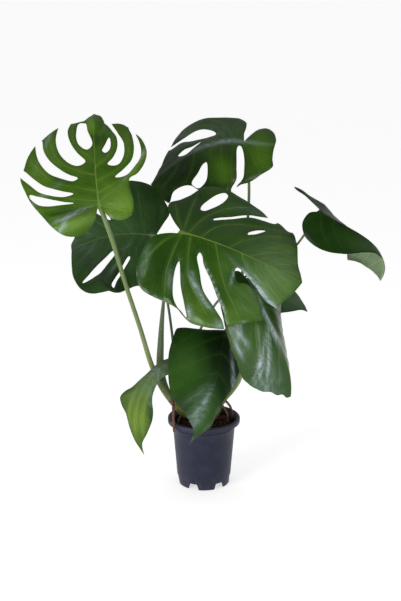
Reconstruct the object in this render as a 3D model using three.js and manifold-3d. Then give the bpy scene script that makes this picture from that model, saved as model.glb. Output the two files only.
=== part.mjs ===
// A potted monstera: two young plants with nine leaves in a tapered nursery pot.
// Millimetres, +Z up. The origin is on the ground at the pot's axis, and the front of the plant faces -Y.

import * as THREE from 'three';
import { mergeVertices } from 'three/addons/utils/BufferGeometryUtils.js';
import Module from 'manifold-3d';

const wasm = await Module();
wasm.setup();

// ---------------------------------------------------------------- driving dimensions

const CLEARANCE = 0.4; // between pieces that touch in the real plant

// pot: outer radii at their heights
const POT_HEIGHT = 163;
const LIP_RADIUS = 85;
const LIP_HEIGHT = 12;
const LIP_ROUND = 3;
const LIP_LAND = 5; // flat top of the lip, measured from its outer edge
const LIP_SLOPE = 2.5; // the lip's inner edge, slanting down
const LIP_UNDER_EDGE = 1.5;
const LIP_WALL_ADDED = 1.2; // the wall is thinner where it meets the lip
const WALL_TOP_RADIUS = 74;
const SHOULDER_RADIUS = 63.6;
const SHOULDER_HEIGHT = 22;
const SHOULDER_DROP = 2; // the small step under the shoulder
const FOOT_RADIUS = 60.5;
const WALL = 2;
const FLOOR_HEIGHT = 15; // underside of the floor, above the ground
const FLOOR = 2.4;
const FLOOR_FILLET = 6; // height of the slanted corner between floor and wall
const NOTCH_COUNT = 6;
const NOTCH_FIRST_ANGLE = -24; // degrees from the front, towards -X
const NOTCH_HEIGHT = 14.5;
const NOTCH_WIDTH_BOTTOM = 27;
const NOTCH_WIDTH_TOP = 19;
const NOTCH_DEPTH = 16;
const DRAIN_HOLES = 6;
const DRAIN_HOLE_RADIUS = 4.5;
const DRAIN_RING_RADIUS = 36;
const DRAIN_HOLE_SIDES = 10;
const POT_SIDES = 40;

// soil
const SOIL_TOP = 150;
const SOIL_WAVE = 2.2;
const SOIL_RINGS = [1, 0.8, 0.55, 0.28]; // rings of the top, as shares of its radius
const SOIL_LEVEL_RIM = 0.9; // outside this share of the radius the top is level

// blades
const BLADE = 1.1; // thickness
const RIB = 2.6; // how far the midrib stands out under the blade
const RIB_START = 16; // the rib begins past the stalk's end
const RIB_RISE = 20; // and reaches its full depth over this length
const BLADE_STEP = 34; // longest edge of a blade's facets
const MARGIN_STEP = 14; // facets along the margin
const CUT_STEP = 12; // facets along a cut

// stalks and roots
const LIMB_SIDES = 8;
const LIMB_STEP = 34;

// ---------------------------------------------------------------- colours

const POT_COLOUR = '#3a3e52';
const SOIL_COLOUR = '#1d1512';
const ROOT_COLOUR = '#6d4b42';
const STALK_COLOUR = '#5f7a3c';
const LEAF_COLOUR = '#3f6a1c';
const DARK_LEAF_COLOUR = '#2c4a22';
const YOUNG_LEAF_COLOUR = '#5f7d32';

// ---------------------------------------------------------------- the leaves

// A blade is drawn flat in leaf coordinates [s, t]: s runs along the midrib from the stalk (s = 0) to the
// tip, and t across it, negative on the left half. "left" is the margin from the sinus to the tip and "right"
// the margin back from the tip to the sinus. Each cut is a closed outline: a hole inside the blade, or a slit
// where it runs out past the margin. "midrib" holds the four control points of a cubic curve, "faces" the
// direction of the upper side at the stalk and at the tip, "fold" the lift of each half in degrees at the
// stalk and at the tip, "curl" its further bend in degrees for every 100 mm from the midrib, and "step"
// replaces BLADE_STEP on a blade that bends tightly.

const LEAVES = [
  {
    name: 'leaf_upper_left',
    colour: LEAF_COLOUR,
    midrib: [[-224, -130, 689], [-232, -112, 737], [-238, -75, 811], [-242, 0, 863]],
    faces: [[-0.02, -0.86, 0.5], [-0.02, -0.7, 0.71]],
    fold: { left: [8, 0], right: [10, 0] },
    curl: { left: -3.5, right: -3.5 },
    left: [
      [-6, -4], [-30, -13], [-50, -31], [-59, -52], [-56, -76], [-42, -97], [-3, -124], [20, -141],
      [42, -151],
      [72, -160], [88, -153], [121, -142], [152, -122], [181, -91], [199, -63], [208, -33], [214, -14],
      [231, 0],
    ],
    right: [
      [231, 0], [220, 14], [199, 29], [197, 53], [186, 72], [160, 93], [140, 105], [109, 113], [77, 104],
      [60, 90], [51, 72], [29, 71], [1, 75], [-26, 70], [-37, 57], [-38, 37], [-28, 19], [-6, 4],
    ],
    cuts: [
      [[130, -15], [143, -32], [160, -38], [176, -38], [202, -33], [203, -19], [182, -14], [142, -4]],
      [
        [102, -20], [124, -37], [153, -52], [180, -57], [212, -50], [210, -68], [177, -80], [151, -82],
        [122, -74], [100, -56], [92, -35],
      ],
      [
        [64, -38], [72, -54], [86, -75], [109, -97], [133, -109], [162, -114], [160, -124], [124, -124],
        [99, -115], [78, -98], [64, -69], [58, -48],
      ],
      [
        [31, -50], [38, -72], [46, -96], [53, -112], [67, -130], [90, -156], [84, -166], [55, -139],
        [39, -119], [27, -73],
      ],
      [
        [12, -51], [17, -74], [26, -106], [33, -128], [37, -143], [31, -143], [23, -136], [15, -125],
        [11, -104], [11, -75],
      ],
      [[124, 17], [139, 24], [158, 33], [140, 36], [126, 33], [119, 24]],
      [
        [91, 27], [106, 40], [129, 50], [157, 49], [180, 38], [206, 22], [208, 30], [180, 47], [166, 53],
        [139, 64], [108, 63], [88, 51], [86, 36],
      ],
      [
        [59, 41], [74, 61], [93, 79], [121, 86], [157, 83], [184, 76], [176, 92], [161, 91], [140, 97],
        [115, 101], [95, 97], [77, 85], [61, 68], [57, 50],
      ],
    ],
  },
  {
    name: 'leaf_behind_left',
    colour: DARK_LEAF_COLOUR,
    midrib: [[-115, 30, 590], [-173, 25, 603], [-240, 10, 597], [-297, -30, 568]],
    faces: [[0.05, -0.88, 0.48], [-0.25, -0.85, 0.45]],
    fold: { left: [6, 6], right: [6, 6] },
    curl: { left: -6, right: -6 },
    left: [
      [-6, -5], [-30, -15], [-52, -40], [-55, -75], [-35, -105], [0, -120], [40, -124], [103, -135],
      [179, -140], [213, -128], [237, -112], [244, -91], [239, -61], [224, -35], [206, -10], [198, 0],
    ],
    right: [
      [198, 0], [189, 14], [174, 25], [162, 52], [146, 86], [120, 112], [85, 125], [51, 127], [27, 122],
      [7, 110], [-12, 85], [-27, 60], [-18, 35], [-6, 5],
    ],
    cuts: [
      [
        [102, -37], [130, -49], [160, -60], [200, -73], [232, -84], [214, -87],
        [178, -84], [123, -60], [98, -42],
      ],
      [[62, -54], [98, -86], [130, -104], [162, -121], [160, -127], [128, -111], [96, -93], [59, -57]],
      [[92, 36], [110, 52], [124, 76], [128, 92], [118, 86], [102, 66]],
      [[50, 44], [66, 62], [76, 88], [76, 104], [66, 92], [54, 66]],
    ],
  },
  {
    name: 'leaf_top',
    colour: LEAF_COLOUR,
    midrib: [[89, 128, 793], [23, 113, 801], [-46, 86, 772], [-122, 53, 704]],
    faces: [[-0.1, -0.32, 0.95], [-0.75, -0.25, 0.6]],
    fold: { left: [-40, -45], right: [24, 12] },
    curl: { left: -23, right: -6 },
    left: [
      [-5, 2], [-20, 20], [-48, 46], [-66, 50], [-81, 39], [-85, 18], [-76, -14], [-73, -37], [-74, -54],
      [-46, -76], [-20, -95], [27, -109], [57, -117], [103, -112], [142, -99], [168, -82], [177, -64],
      [193, -54], [222, -50], [249, -63], [252, -48], [247, -22], [247, 0],
    ],
    right: [
      [247, 0], [232, 7], [210, 22], [183, 40], [152, 59], [122, 83], [97, 95], [70, 98], [42, 90],
      [15, 79], [-6, 76], [-18, 66], [-16, 48], [-8, 26], [-5, 6],
    ],
    cuts: [
      [
        [5, -11], [-1, -21], [-5, -61], [-1, -91], [28, -107], [40, -128], [66, -128], [61, -114], [27, -91],
        [21, -62], [12, -13],
      ],
      [[106, -34], [118, -36], [141, -48], [172, -61], [171, -72], [164, -79], [131, -71], [109, -44]],
      [
        [52, 33], [58, 49], [72, 61], [98, 63], [124, 59], [156, 60], [157, 54], [125, 51], [108, 42],
        [83, 33],
        [56, 29],
      ],
      [[90, 24], [112, 22], [132, 25], [153, 19], [148, 11], [137, 8], [114, 14]],
    ],
  },
  {
    name: 'leaf_centre',
    colour: LEAF_COLOUR,
    midrib: [[-49, -73, 620], [39, -98, 604], [125, -123, 565], [211, -163, 528]],
    faces: [[0.05, -0.8, 0.6], [0.22, -0.8, 0.57]],
    fold: { left: [-12, -12], right: [-12, -12] },
    curl: { left: -3.5, right: -3.5 },
    left: [
      [-6, -5], [-22, -20], [-41, -41], [-54, -62], [-53, -76], [-32, -92], [-8, -130], [2, -145], [25, -159],
      [53, -157], [80, -150], [127, -137], [155, -122], [175, -125], [198, -116], [209, -117], [229, -93],
      [255, -46], [289, 0],
    ],
    right: [
      [289, 0], [285, 26], [275, 53], [267, 77], [261, 106], [240, 122], [220, 137], [197, 151], [185, 166],
      [161, 175], [133, 181], [103, 184], [86, 181], [66, 173], [49, 165], [6, 158], [-20, 154], [-48, 146],
      [-64, 132], [-77, 100], [-76, 69], [-68, 35], [-54, 19], [-24, 7], [-6, 4],
    ],
    cuts: [
      [
        [17, -76], [16, -92], [24, -114], [36, -135], [48, -144], [55, -139],
        [53, -121], [38, -94], [24, -76],
      ],
      [[51, -59], [85, -79], [124, -106], [168, -120], [168, -128], [122, -112], [83, -84], [50, -62]],
      [[128, -52], [136, -68], [148, -81], [159, -87], [151, -72], [140, -60]],
      [
        [14, 64], [11, 75], [15, 113], [28, 144], [46, 160], [64, 168], [83, 176],
        [66, 154], [38, 116], [18, 70],
      ],
      [
        [54, 33], [52, 43], [68, 69], [95, 107], [138, 133], [171, 152], [192, 172], [196, 166], [174, 146],
        [168, 137], [141, 116], [105, 83], [72, 54], [63, 39],
      ],
      [
        [146, 35], [146, 44], [162, 63], [186, 58], [217, 71], [262, 112], [276, 92], [268, 77], [239, 73],
        [204, 55], [152, 34],
      ],
    ],
  },
  {
    name: 'leaf_right',
    colour: DARK_LEAF_COLOUR,
    midrib: [[255, -80, 667], [313, -88, 626], [425, -92, 602], [384, -96, 508]],
    faces: [[0.1, -0.35, 0.94], [0.95, 0, 0.3]],
    fold: { left: [-14, -46], right: [-42, 25] },
    curl: { left: -7, right: -23 },
    left: [
      [-6, -4], [-20, -12], [-38, -20], [-56, -26], [-74, -26], [-78, -36], [-62, -48], [-40, -58],
      [0, -72], [36, -94], [70, -124], [106, -144], [146, -138], [180, -100], [201, -54], [213, -20],
      [224, 0],
    ],
    right: [
      [224, 0], [203, 8], [179, 18], [150, 34], [118, 57], [95, 69], [72, 74], [38, 76], [6, 68], [-9, 58],
      [-18, 48], [-22, 36], [-20, 17], [-6, 4],
    ],
    cuts: [],
  },
  {
    name: 'leaf_lower_right',
    colour: LEAF_COLOUR,
    midrib: [[115, -100, 494], [128, -145, 463], [199, -172, 352], [191, -152, 267]],
    faces: [[0, -0.9, 0.42], [0.1, -0.97, 0.1]],
    fold: { left: [-44, -88], right: [-4, -4] },
    curl: { left: -23, right: -28 },
    left: [
      [-6, -4], [-28, -18], [-38, -45], [-20, -72], [15, -90], [60, -97], [110, -90], [150, -80],
      [190, -68], [218, -54], [240, -38], [252, -16], [257, 0],
    ],
    right: [
      [257, 0], [261, 9], [253, 19], [257, 31], [250, 46], [256, 63], [249, 76], [234, 91], [194, 106],
      [162, 109], [111, 108], [60, 101], [15, 92], [-30, 80], [-60, 64], [-74, 42], [-72, 24], [-52, 14],
      [-25, 8], [-6, 4],
    ],
    cuts: [],
  },
  {
    name: 'leaf_behind_right',
    colour: DARK_LEAF_COLOUR,
    midrib: [[125, 110, 437], [162, 105, 438], [204, 80, 425], [243, 50, 404]],
    faces: [[0.2, -0.6, 0.75], [0.5, -0.6, 0.5]],
    fold: { left: [-5, -5], right: [-5, -5] },
    curl: { left: -11, right: -11 },
    left: [
      [-6, -4], [-25, -15], [-35, -35], [-20, -55], [15, -62], [50, -55], [78, -42], [100, -30], [118, -17],
      [139, 0],
    ],
    right: [
      [139, 0], [126, 4], [113, 19], [95, 37], [65, 52], [25, 62], [-15, 60], [-35, 40], [-25, 15],
      [-6, 4],
    ],
    cuts: [],
  },
  {
    name: 'leaf_front',
    colour: DARK_LEAF_COLOUR,
    step: 29,
    midrib: [[46, -10, 371], [46, -58, 430], [45, -95, 250], [-34, -108, 137]],
    faces: [[0, -0.35, 0.94], [0, -0.97, 0.1]],
    fold: { left: [45, 30], right: [0, 0] },
    curl: { left: 6, right: 6 },
    left: [
      [-6, -5], [-28, -20], [-38, -45], [-20, -64], [20, -74], [66, -75], [108, -68], [140, -56],
      [164, -45], [190, -34], [214, -28], [242, -26], [263, -15], [282, -5], [303, 0],
    ],
    right: [
      [303, 0], [286, 2], [271, 8], [256, 26], [242, 46], [221, 77], [195, 96], [143, 113], [100, 118],
      [59, 114], [30, 108], [8, 96], [-14, 78], [-30, 56], [-34, 38], [-26, 20], [-6, 5],
    ],
    cuts: [],
  },
  {
    name: 'leaf_small_left',
    colour: YOUNG_LEAF_COLOUR,
    midrib: [[-64, -34, 306], [-137, -90, 315], [-177, -92, 218], [-138, -70, 94]],
    faces: [[-0.25, -0.6, 0.75], [-0.2, -0.95, 0.1]],
    fold: { left: [-5, -5], right: [-5, -5] },
    curl: { left: -11, right: -11 },
    left: [
      [-6, -4], [-12, -14], [0, -22], [36, -23], [57, -21], [84, -24], [123, -30], [155, -37], [185, -35],
      [221, -20], [246, -4], [277, 0],
    ],
    right: [
      [277, 0], [258, 5], [237, 12], [205, 20], [174, 29], [158, 42], [144, 49], [130, 42], [115, 28],
      [90, 17], [65, 13], [19, 22], [0, 22], [-12, 14], [-6, 4],
    ],
    cuts: [],
  },
];

// ---------------------------------------------------------------- stalks and roots

// A limb is a list of [x, y, z, radius] along its centreline. A stalk's last point lies under its blade.

const CLUMPS = [
  {
    name: 'stem_left',
    limbs: [
      // the short main stem, leaning out over the left of the rim
      [[-33, 35, 128, 13], [-40, 28, 152, 13], [-50, 12, 172, 12.5], [-62, -8, 194, 12], [-76, -26, 216, 9]],
      // stalks of the upper left, behind left, centre, right and small left leaves
      [
        [-70, -20, 202, 8], [-95, -26, 240, 7], [-119, -28, 294, 6], [-144, -58, 396, 5.2],
        [-174, -94, 512, 5],
        [-198, -118, 612, 5.2], [-216, -126, 670, 5.4], [-223.5, -122.5, 689, 5],
      ],
      [
        [-58, -6, 190, 7], [-65, 10, 269, 4.5], [-74, 15, 360, 3.2], [-84, 18, 435, 3], [-104, 30, 531, 3],
        [-114, 35, 574, 3.2], [-115, 35, 588, 3.2],
      ],
      [
        [-70, -22, 206, 9], [-91, -16, 238, 9.5], [-101, -8, 281, 9.5], [-100, -8, 346, 7.4],
        [-92, -24, 449, 3.6], [-79, -43, 544, 3.2], [-59, -63, 603, 3.4], [-49.5, -68, 616.5, 3.4],
      ],
      [
        [-58, -10, 192, 7], [-36, 36, 296, 3.6], [28, 48, 425, 2.8], [112, 16, 510, 2.6],
        [190, -40, 568, 2.6],
        [219, -66, 611, 2.6], [240, -77, 651, 2.8], [254, -78, 662.5, 2.8],
      ],
      [[-58, -6, 186, 7], [-50, 4, 228, 5], [-52, -4, 272, 4.4], [-60, -22, 296, 4], [-63, -30, 301.5, 3.6]],
    ],
  },
  {
    name: 'stem_right',
    limbs: [
      [[20, 30, 128, 12], [23, 26, 150, 12], [29, 22, 170, 11.5], [38, 17, 192, 9]],
      // stalks of the lower right, top, behind right and front leaves
      [
        [34, 18, 182, 9], [50, 8, 210, 9], [63, -2, 228, 8.5], [79, -16, 258, 7.5], [86, -26, 288, 6.5],
        [99, -44, 336, 5.6], [110, -66, 408, 4.6], [113, -88, 468, 4], [115, -95, 491.6, 3.8],
      ],
      [
        [38, 18, 184, 7], [62, 40, 314, 4.4], [89, 84, 474, 3.8], [105, 115, 649, 3.4], [104, 128, 722, 3.4],
        [96, 131, 772, 3.2], [89.5, 130, 787.6, 3],
      ],
      [[38, 20, 184, 6], [76, 60, 295, 3.6], [106, 100, 383, 3], [121, 110, 420, 3], [124.5, 112, 432.8, 3]],
      [[36, 14, 182, 7], [49, 14, 248, 5.4], [51, 8, 313, 4.6], [47, 2, 353, 4], [45.6, -1.5, 362, 3.6]],
    ],
  },
];

const ROOTS = [
  {
    name: 'root_over_rim',
    limb: [[-71, -36, 214, 3.6], [-70.5, -52, 194, 3.4], [-70.5, -58, 172, 3.2], [-69.5, -57, 146, 2.2]],
  },
  {
    name: 'root_left',
    limb: [[-44, 18, 168, 2.4], [-54, 0, 164, 2.2], [-60, -12, 157, 2], [-61, -16, 144, 1.6]],
  },
  {
    name: 'root_right',
    limb: [[40, 14, 204, 3.2], [54, 12, 194, 3], [64, 13, 178, 2.8], [69, 14, 146, 2.2]],
  },
  {
    name: 'root_right_inner',
    limb: [[36, 10, 192, 2.8], [48, 4, 182, 2.6], [56, 1, 166, 2.4], [58, 0, 146, 2]],
  },
];

// ---------------------------------------------------------------- solids

function toSolid(geometry) {
  const bare = geometry.clone();
  bare.deleteAttribute('normal');
  bare.deleteAttribute('uv');
  const welded = mergeVertices(bare, 1e-4);
  return new wasm.Manifold(
    new wasm.Mesh({
      numProp: 3,
      vertProperties: new Float32Array(welded.attributes.position.array),
      triVerts: new Uint32Array(welded.index.array),
    })
  );
}

function toGeometry(solid) {
  const { numProp, vertProperties, triVerts } = solid.getMesh();
  const corners = vertProperties.length / numProp;
  const positions = new Float32Array(corners * 3);
  for (let i = 0; i < corners; i++) {
    positions.set(vertProperties.subarray(i * numProp, i * numProp + 3), i * 3);
  }
  const geometry = new THREE.BufferGeometry();
  geometry.setAttribute('position', new THREE.BufferAttribute(positions, 3));
  geometry.setIndex(new THREE.BufferAttribute(new Uint32Array(triVerts), 1));
  return geometry;
}

function named(name, solidOrGeometry, colour, roughness) {
  const geometry = solidOrGeometry.isBufferGeometry ? solidOrGeometry : toGeometry(solidOrGeometry);
  const material = new THREE.MeshStandardMaterial({ color: colour, roughness, metalness: 0 });
  const mesh = new THREE.Mesh(geometry, material);
  mesh.name = name;
  return mesh;
}

const lerp = THREE.MathUtils.lerp;
const clamp = THREE.MathUtils.clamp;
const radians = THREE.MathUtils.degToRad;

function closedLathe(profile, sides) {
  const points = profile.map(([r, z]) => new THREE.Vector2(r, z));
  // the lathe turns round Y, so it is stood up along Z afterwards
  return new THREE.LatheGeometry(points, sides).rotateX(Math.PI / 2);
}

// ---------------------------------------------------------------- pot and soil

function wallRadius(z) {
  const along = (z - SHOULDER_HEIGHT) / (POT_HEIGHT - LIP_HEIGHT - SHOULDER_HEIGHT);
  return lerp(SHOULDER_RADIUS, WALL_TOP_RADIUS, along);
}

function potProfile() {
  const underLip = POT_HEIGHT - LIP_HEIGHT;
  const floorTop = FLOOR_HEIGHT + FLOOR;
  const filletTop = floorTop + FLOOR_FILLET;
  const lipCorner = LIP_RADIUS - LIP_ROUND;
  return [
    [0, FLOOR_HEIGHT],
    [FOOT_RADIUS - WALL, FLOOR_HEIGHT],
    [FOOT_RADIUS - WALL, 0],
    [FOOT_RADIUS, 0],
    [FOOT_RADIUS + 1, SHOULDER_HEIGHT - SHOULDER_DROP],
    [SHOULDER_RADIUS, SHOULDER_HEIGHT],
    [wallRadius(underLip), underLip],
    [LIP_RADIUS - LIP_UNDER_EDGE, underLip],
    [LIP_RADIUS, underLip + LIP_UNDER_EDGE],
    [LIP_RADIUS, POT_HEIGHT - LIP_ROUND],
    [lipCorner + LIP_ROUND * Math.SQRT1_2, POT_HEIGHT - LIP_ROUND * (1 - Math.SQRT1_2)],
    [lipCorner, POT_HEIGHT],
    [LIP_RADIUS - LIP_LAND, POT_HEIGHT],
    [LIP_RADIUS - LIP_LAND - LIP_SLOPE, POT_HEIGHT - LIP_SLOPE],
    [wallRadius(underLip) - WALL + LIP_WALL_ADDED, underLip],
    [wallRadius(filletTop) - WALL, filletTop],
    [FOOT_RADIUS - WALL - 1, floorTop],
    [0, floorTop],
  ];
}

function notchCutter(index) {
  const shape = new THREE.Shape([
    new THREE.Vector2(-NOTCH_WIDTH_BOTTOM / 2, -1),
    new THREE.Vector2(NOTCH_WIDTH_BOTTOM / 2, -1),
    new THREE.Vector2(NOTCH_WIDTH_TOP / 2, NOTCH_HEIGHT),
    new THREE.Vector2(-NOTCH_WIDTH_TOP / 2, NOTCH_HEIGHT),
  ]);
  const cutter = new THREE.ExtrudeGeometry(shape, { depth: NOTCH_DEPTH, bevelEnabled: false });
  cutter.rotateX(Math.PI / 2);
  // half of its depth lies inside the skirt, and half outside
  cutter.translate(0, -(FOOT_RADIUS - WALL / 2 - NOTCH_DEPTH / 2), 0);
  cutter.rotateZ(radians(NOTCH_FIRST_ANGLE + (index * 360) / NOTCH_COUNT));
  return toSolid(cutter);
}

function drainCutter(index) {
  const through = 3 * FLOOR;
  const hole = new THREE.CylinderGeometry(DRAIN_HOLE_RADIUS, DRAIN_HOLE_RADIUS, through, DRAIN_HOLE_SIDES);
  hole.rotateX(Math.PI / 2);
  hole.translate(0, -DRAIN_RING_RADIUS, FLOOR_HEIGHT + FLOOR / 2);
  hole.rotateZ(radians(NOTCH_FIRST_ANGLE + ((index + 0.5) * 360) / DRAIN_HOLES));
  return toSolid(hole);
}

function makePot() {
  let pot = toSolid(closedLathe(potProfile(), POT_SIDES));
  for (let i = 0; i < NOTCH_COUNT; i++) pot = pot.subtract(notchCutter(i));
  for (let i = 0; i < DRAIN_HOLES; i++) pot = pot.subtract(drainCutter(i));
  return named('pot', pot, POT_COLOUR, 0.6);
}

function soilHeight(x, y) {
  const bumps = Math.sin(x * 0.11 + 1) * Math.cos(y * 0.13) + 0.5 * Math.sin((x + y) * 0.23);
  return SOIL_TOP + SOIL_WAVE * bumps;
}

function makeSoil(stems) {
  const floorTop = FLOOR_HEIGHT + FLOOR + CLEARANCE;
  const filletTop = floorTop + FLOOR_FILLET;
  const topRadius = wallRadius(POT_HEIGHT - LIP_HEIGHT) - WALL - CLEARANCE;
  const profile = [
    [0, floorTop],
    [FOOT_RADIUS - WALL - 1 - 1.5 * CLEARANCE, floorTop],
    [wallRadius(filletTop) - WALL - CLEARANCE, filletTop],
    ...SOIL_RINGS.map((share) => [topRadius * share, SOIL_TOP]),
    [0, SOIL_TOP],
  ];
  const geometry = closedLathe(profile, POT_SIDES / 2);
  // the sides are scaled in, so that its flats stay inside the pot's rounder wall
  const inside = Math.cos(Math.PI / POT_SIDES);
  geometry.scale(inside, inside, 1);
  const position = geometry.attributes.position;
  for (let i = 0; i < position.count; i++) {
    const x = position.getX(i);
    const y = position.getY(i);
    const onTop = position.getZ(i) > SOIL_TOP - 1 && Math.hypot(x, y) < topRadius * SOIL_LEVEL_RIM;
    if (onTop) position.setZ(i, soilHeight(x, y));
  }
  let soil = toSolid(geometry);
  for (const stem of stems) soil = soil.subtract(stem);
  return named('soil', soil, SOIL_COLOUR, 0.95);
}

// ---------------------------------------------------------------- limbs

// a tube of changing radius along a smooth curve, closed by a flat fan at each end
function limbGeometry(points, grow) {
  const curve = new THREE.CatmullRomCurve3(points.map(([x, y, z]) => new THREE.Vector3(x, y, z)));
  const steps = Math.max(3, Math.round(curve.getLength() / LIMB_STEP));
  const { normals, binormals } = curve.computeFrenetFrames(steps, false);
  const positions = [];
  const index = [];
  for (let i = 0; i <= steps; i++) {
    const u = curve.getUtoTmapping(i / steps);
    const centre = curve.getPoint(u);
    const segment = Math.min(Math.floor(u * (points.length - 1)), points.length - 2);
    const radius = lerp(points[segment][3], points[segment + 1][3], u * (points.length - 1) - segment) + grow;
    for (let k = 0; k < LIMB_SIDES; k++) {
      const angle = (k / LIMB_SIDES) * 2 * Math.PI;
      const corner = centre.clone();
      corner.addScaledVector(normals[i], Math.cos(angle) * radius);
      corner.addScaledVector(binormals[i], Math.sin(angle) * radius);
      positions.push(corner.x, corner.y, corner.z);
    }
  }
  for (let i = 0; i < steps; i++) {
    for (let k = 0; k < LIMB_SIDES; k++) {
      const a = i * LIMB_SIDES + k;
      const b = i * LIMB_SIDES + ((k + 1) % LIMB_SIDES);
      index.push(a, b, a + LIMB_SIDES, b, b + LIMB_SIDES, a + LIMB_SIDES);
    }
  }
  const last = steps * LIMB_SIDES;
  for (let k = 1; k < LIMB_SIDES - 1; k++) {
    index.push(0, k + 1, k);
    index.push(last, last + k, last + k + 1);
  }
  const geometry = new THREE.BufferGeometry();
  geometry.setAttribute('position', new THREE.Float32BufferAttribute(positions, 3));
  geometry.setIndex(index);
  return geometry;
}

function limbSolid(points, grow = 0) {
  return toSolid(limbGeometry(points, grow));
}

function clumpSolid(clump, grow = 0) {
  return clump.limbs.map((limb) => limbSolid(limb, grow)).reduce((whole, limb) => whole.add(limb));
}

// ---------------------------------------------------------------- blades

// the bent surface of a leaf: where a point [s, t] of the flat outline goes, and the way its upper side faces
class LeafSurface {
  constructor(leaf) {
    this.leaf = leaf;
    this.curve = new THREE.CubicBezierCurve3(...leaf.midrib.map((p) => new THREE.Vector3(...p)));
    this.curve.arcLengthDivisions = 400;
    this.length = this.curve.getLength();
  }

  frame(s) {
    const along = clamp(s / this.length, 0, 1);
    const tangent = this.curve.getTangentAt(along);
    const centre = this.curve.getPointAt(along).addScaledVector(tangent, s - along * this.length);
    const [first, last] = this.leaf.faces;
    const up = new THREE.Vector3(...first).normalize();
    up.lerp(new THREE.Vector3(...last).normalize(), along);
    up.addScaledVector(tangent, -up.dot(tangent)).normalize();
    const across = new THREE.Vector3().crossVectors(tangent, up);
    return { along, centre, up, across };
  }

  place(s, t) {
    const side = t < 0 ? 'left' : 'right';
    const sign = t < 0 ? -1 : 1;
    const reach = Math.abs(t);
    const { along, centre, up, across } = this.frame(s);
    const fold = radians(lerp(...this.leaf.fold[side], along));
    const bend = radians(this.leaf.curl[side] / 100);
    const angle = fold + bend * reach;
    const outward = (Math.sin(angle) - Math.sin(fold)) / bend;
    const upward = (Math.cos(fold) - Math.cos(angle)) / bend;
    const point = centre.addScaledVector(across, sign * outward).addScaledVector(up, upward);
    const normal = up.clone().multiplyScalar(Math.cos(angle));
    normal.addScaledVector(across, -sign * Math.sin(angle));
    return { point, normal };
  }
}

function smooth(points, closed, step) {
  const curve = new THREE.CatmullRomCurve3(points.map(([s, t]) => new THREE.Vector3(s, t, 0)), closed);
  const count = Math.max(points.length, Math.round(curve.getLength() / step));
  const samples = curve.getSpacedPoints(count).map(({ x, y }) => new THREE.Vector2(x, y));
  samples.pop(); // the next curve, or the start of a closed one, repeats the last point
  return samples;
}

function flatSolid(outline) {
  const shape = new THREE.Shape(outline);
  return toSolid(new THREE.ExtrudeGeometry(shape, { depth: 1, bevelEnabled: false, curveSegments: 1 }));
}

// the flat outline with its cuts taken out, as the triangles of its upper face
function flatTriangles(leaf) {
  const margin = [...smooth(leaf.left, false, MARGIN_STEP), ...smooth(leaf.right, false, MARGIN_STEP)];
  let flat = flatSolid(margin);
  for (const cut of leaf.cuts) flat = flat.subtract(flatSolid(smooth(cut, true, CUT_STEP)));
  const { numProp, vertProperties, triVerts } = flat.getMesh();
  const renumbered = new Map();
  const points = [];
  const faces = [];
  const isTop = (vertex) => vertProperties[vertex * numProp + 2] > 0.5;
  for (let i = 0; i < triVerts.length; i += 3) {
    const corners = [triVerts[i], triVerts[i + 1], triVerts[i + 2]];
    if (!corners.every(isTop)) continue;
    for (const vertex of corners) {
      if (renumbered.has(vertex)) continue;
      renumbered.set(vertex, points.length);
      points.push([vertProperties[vertex * numProp], vertProperties[vertex * numProp + 1]]);
    }
    faces.push(corners.map((vertex) => renumbered.get(vertex)));
  }
  return { points, faces };
}

const MOST_CORNERS = 65536;
const NEAR_MIDRIB = 0.4; // corners closer than this are moved onto the midrib
const FLATTEST_TURN = 0.05; // twice the least area, in mm2, of a triangle that a turned edge may leave
const MOST_PASSES = 20;

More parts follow.
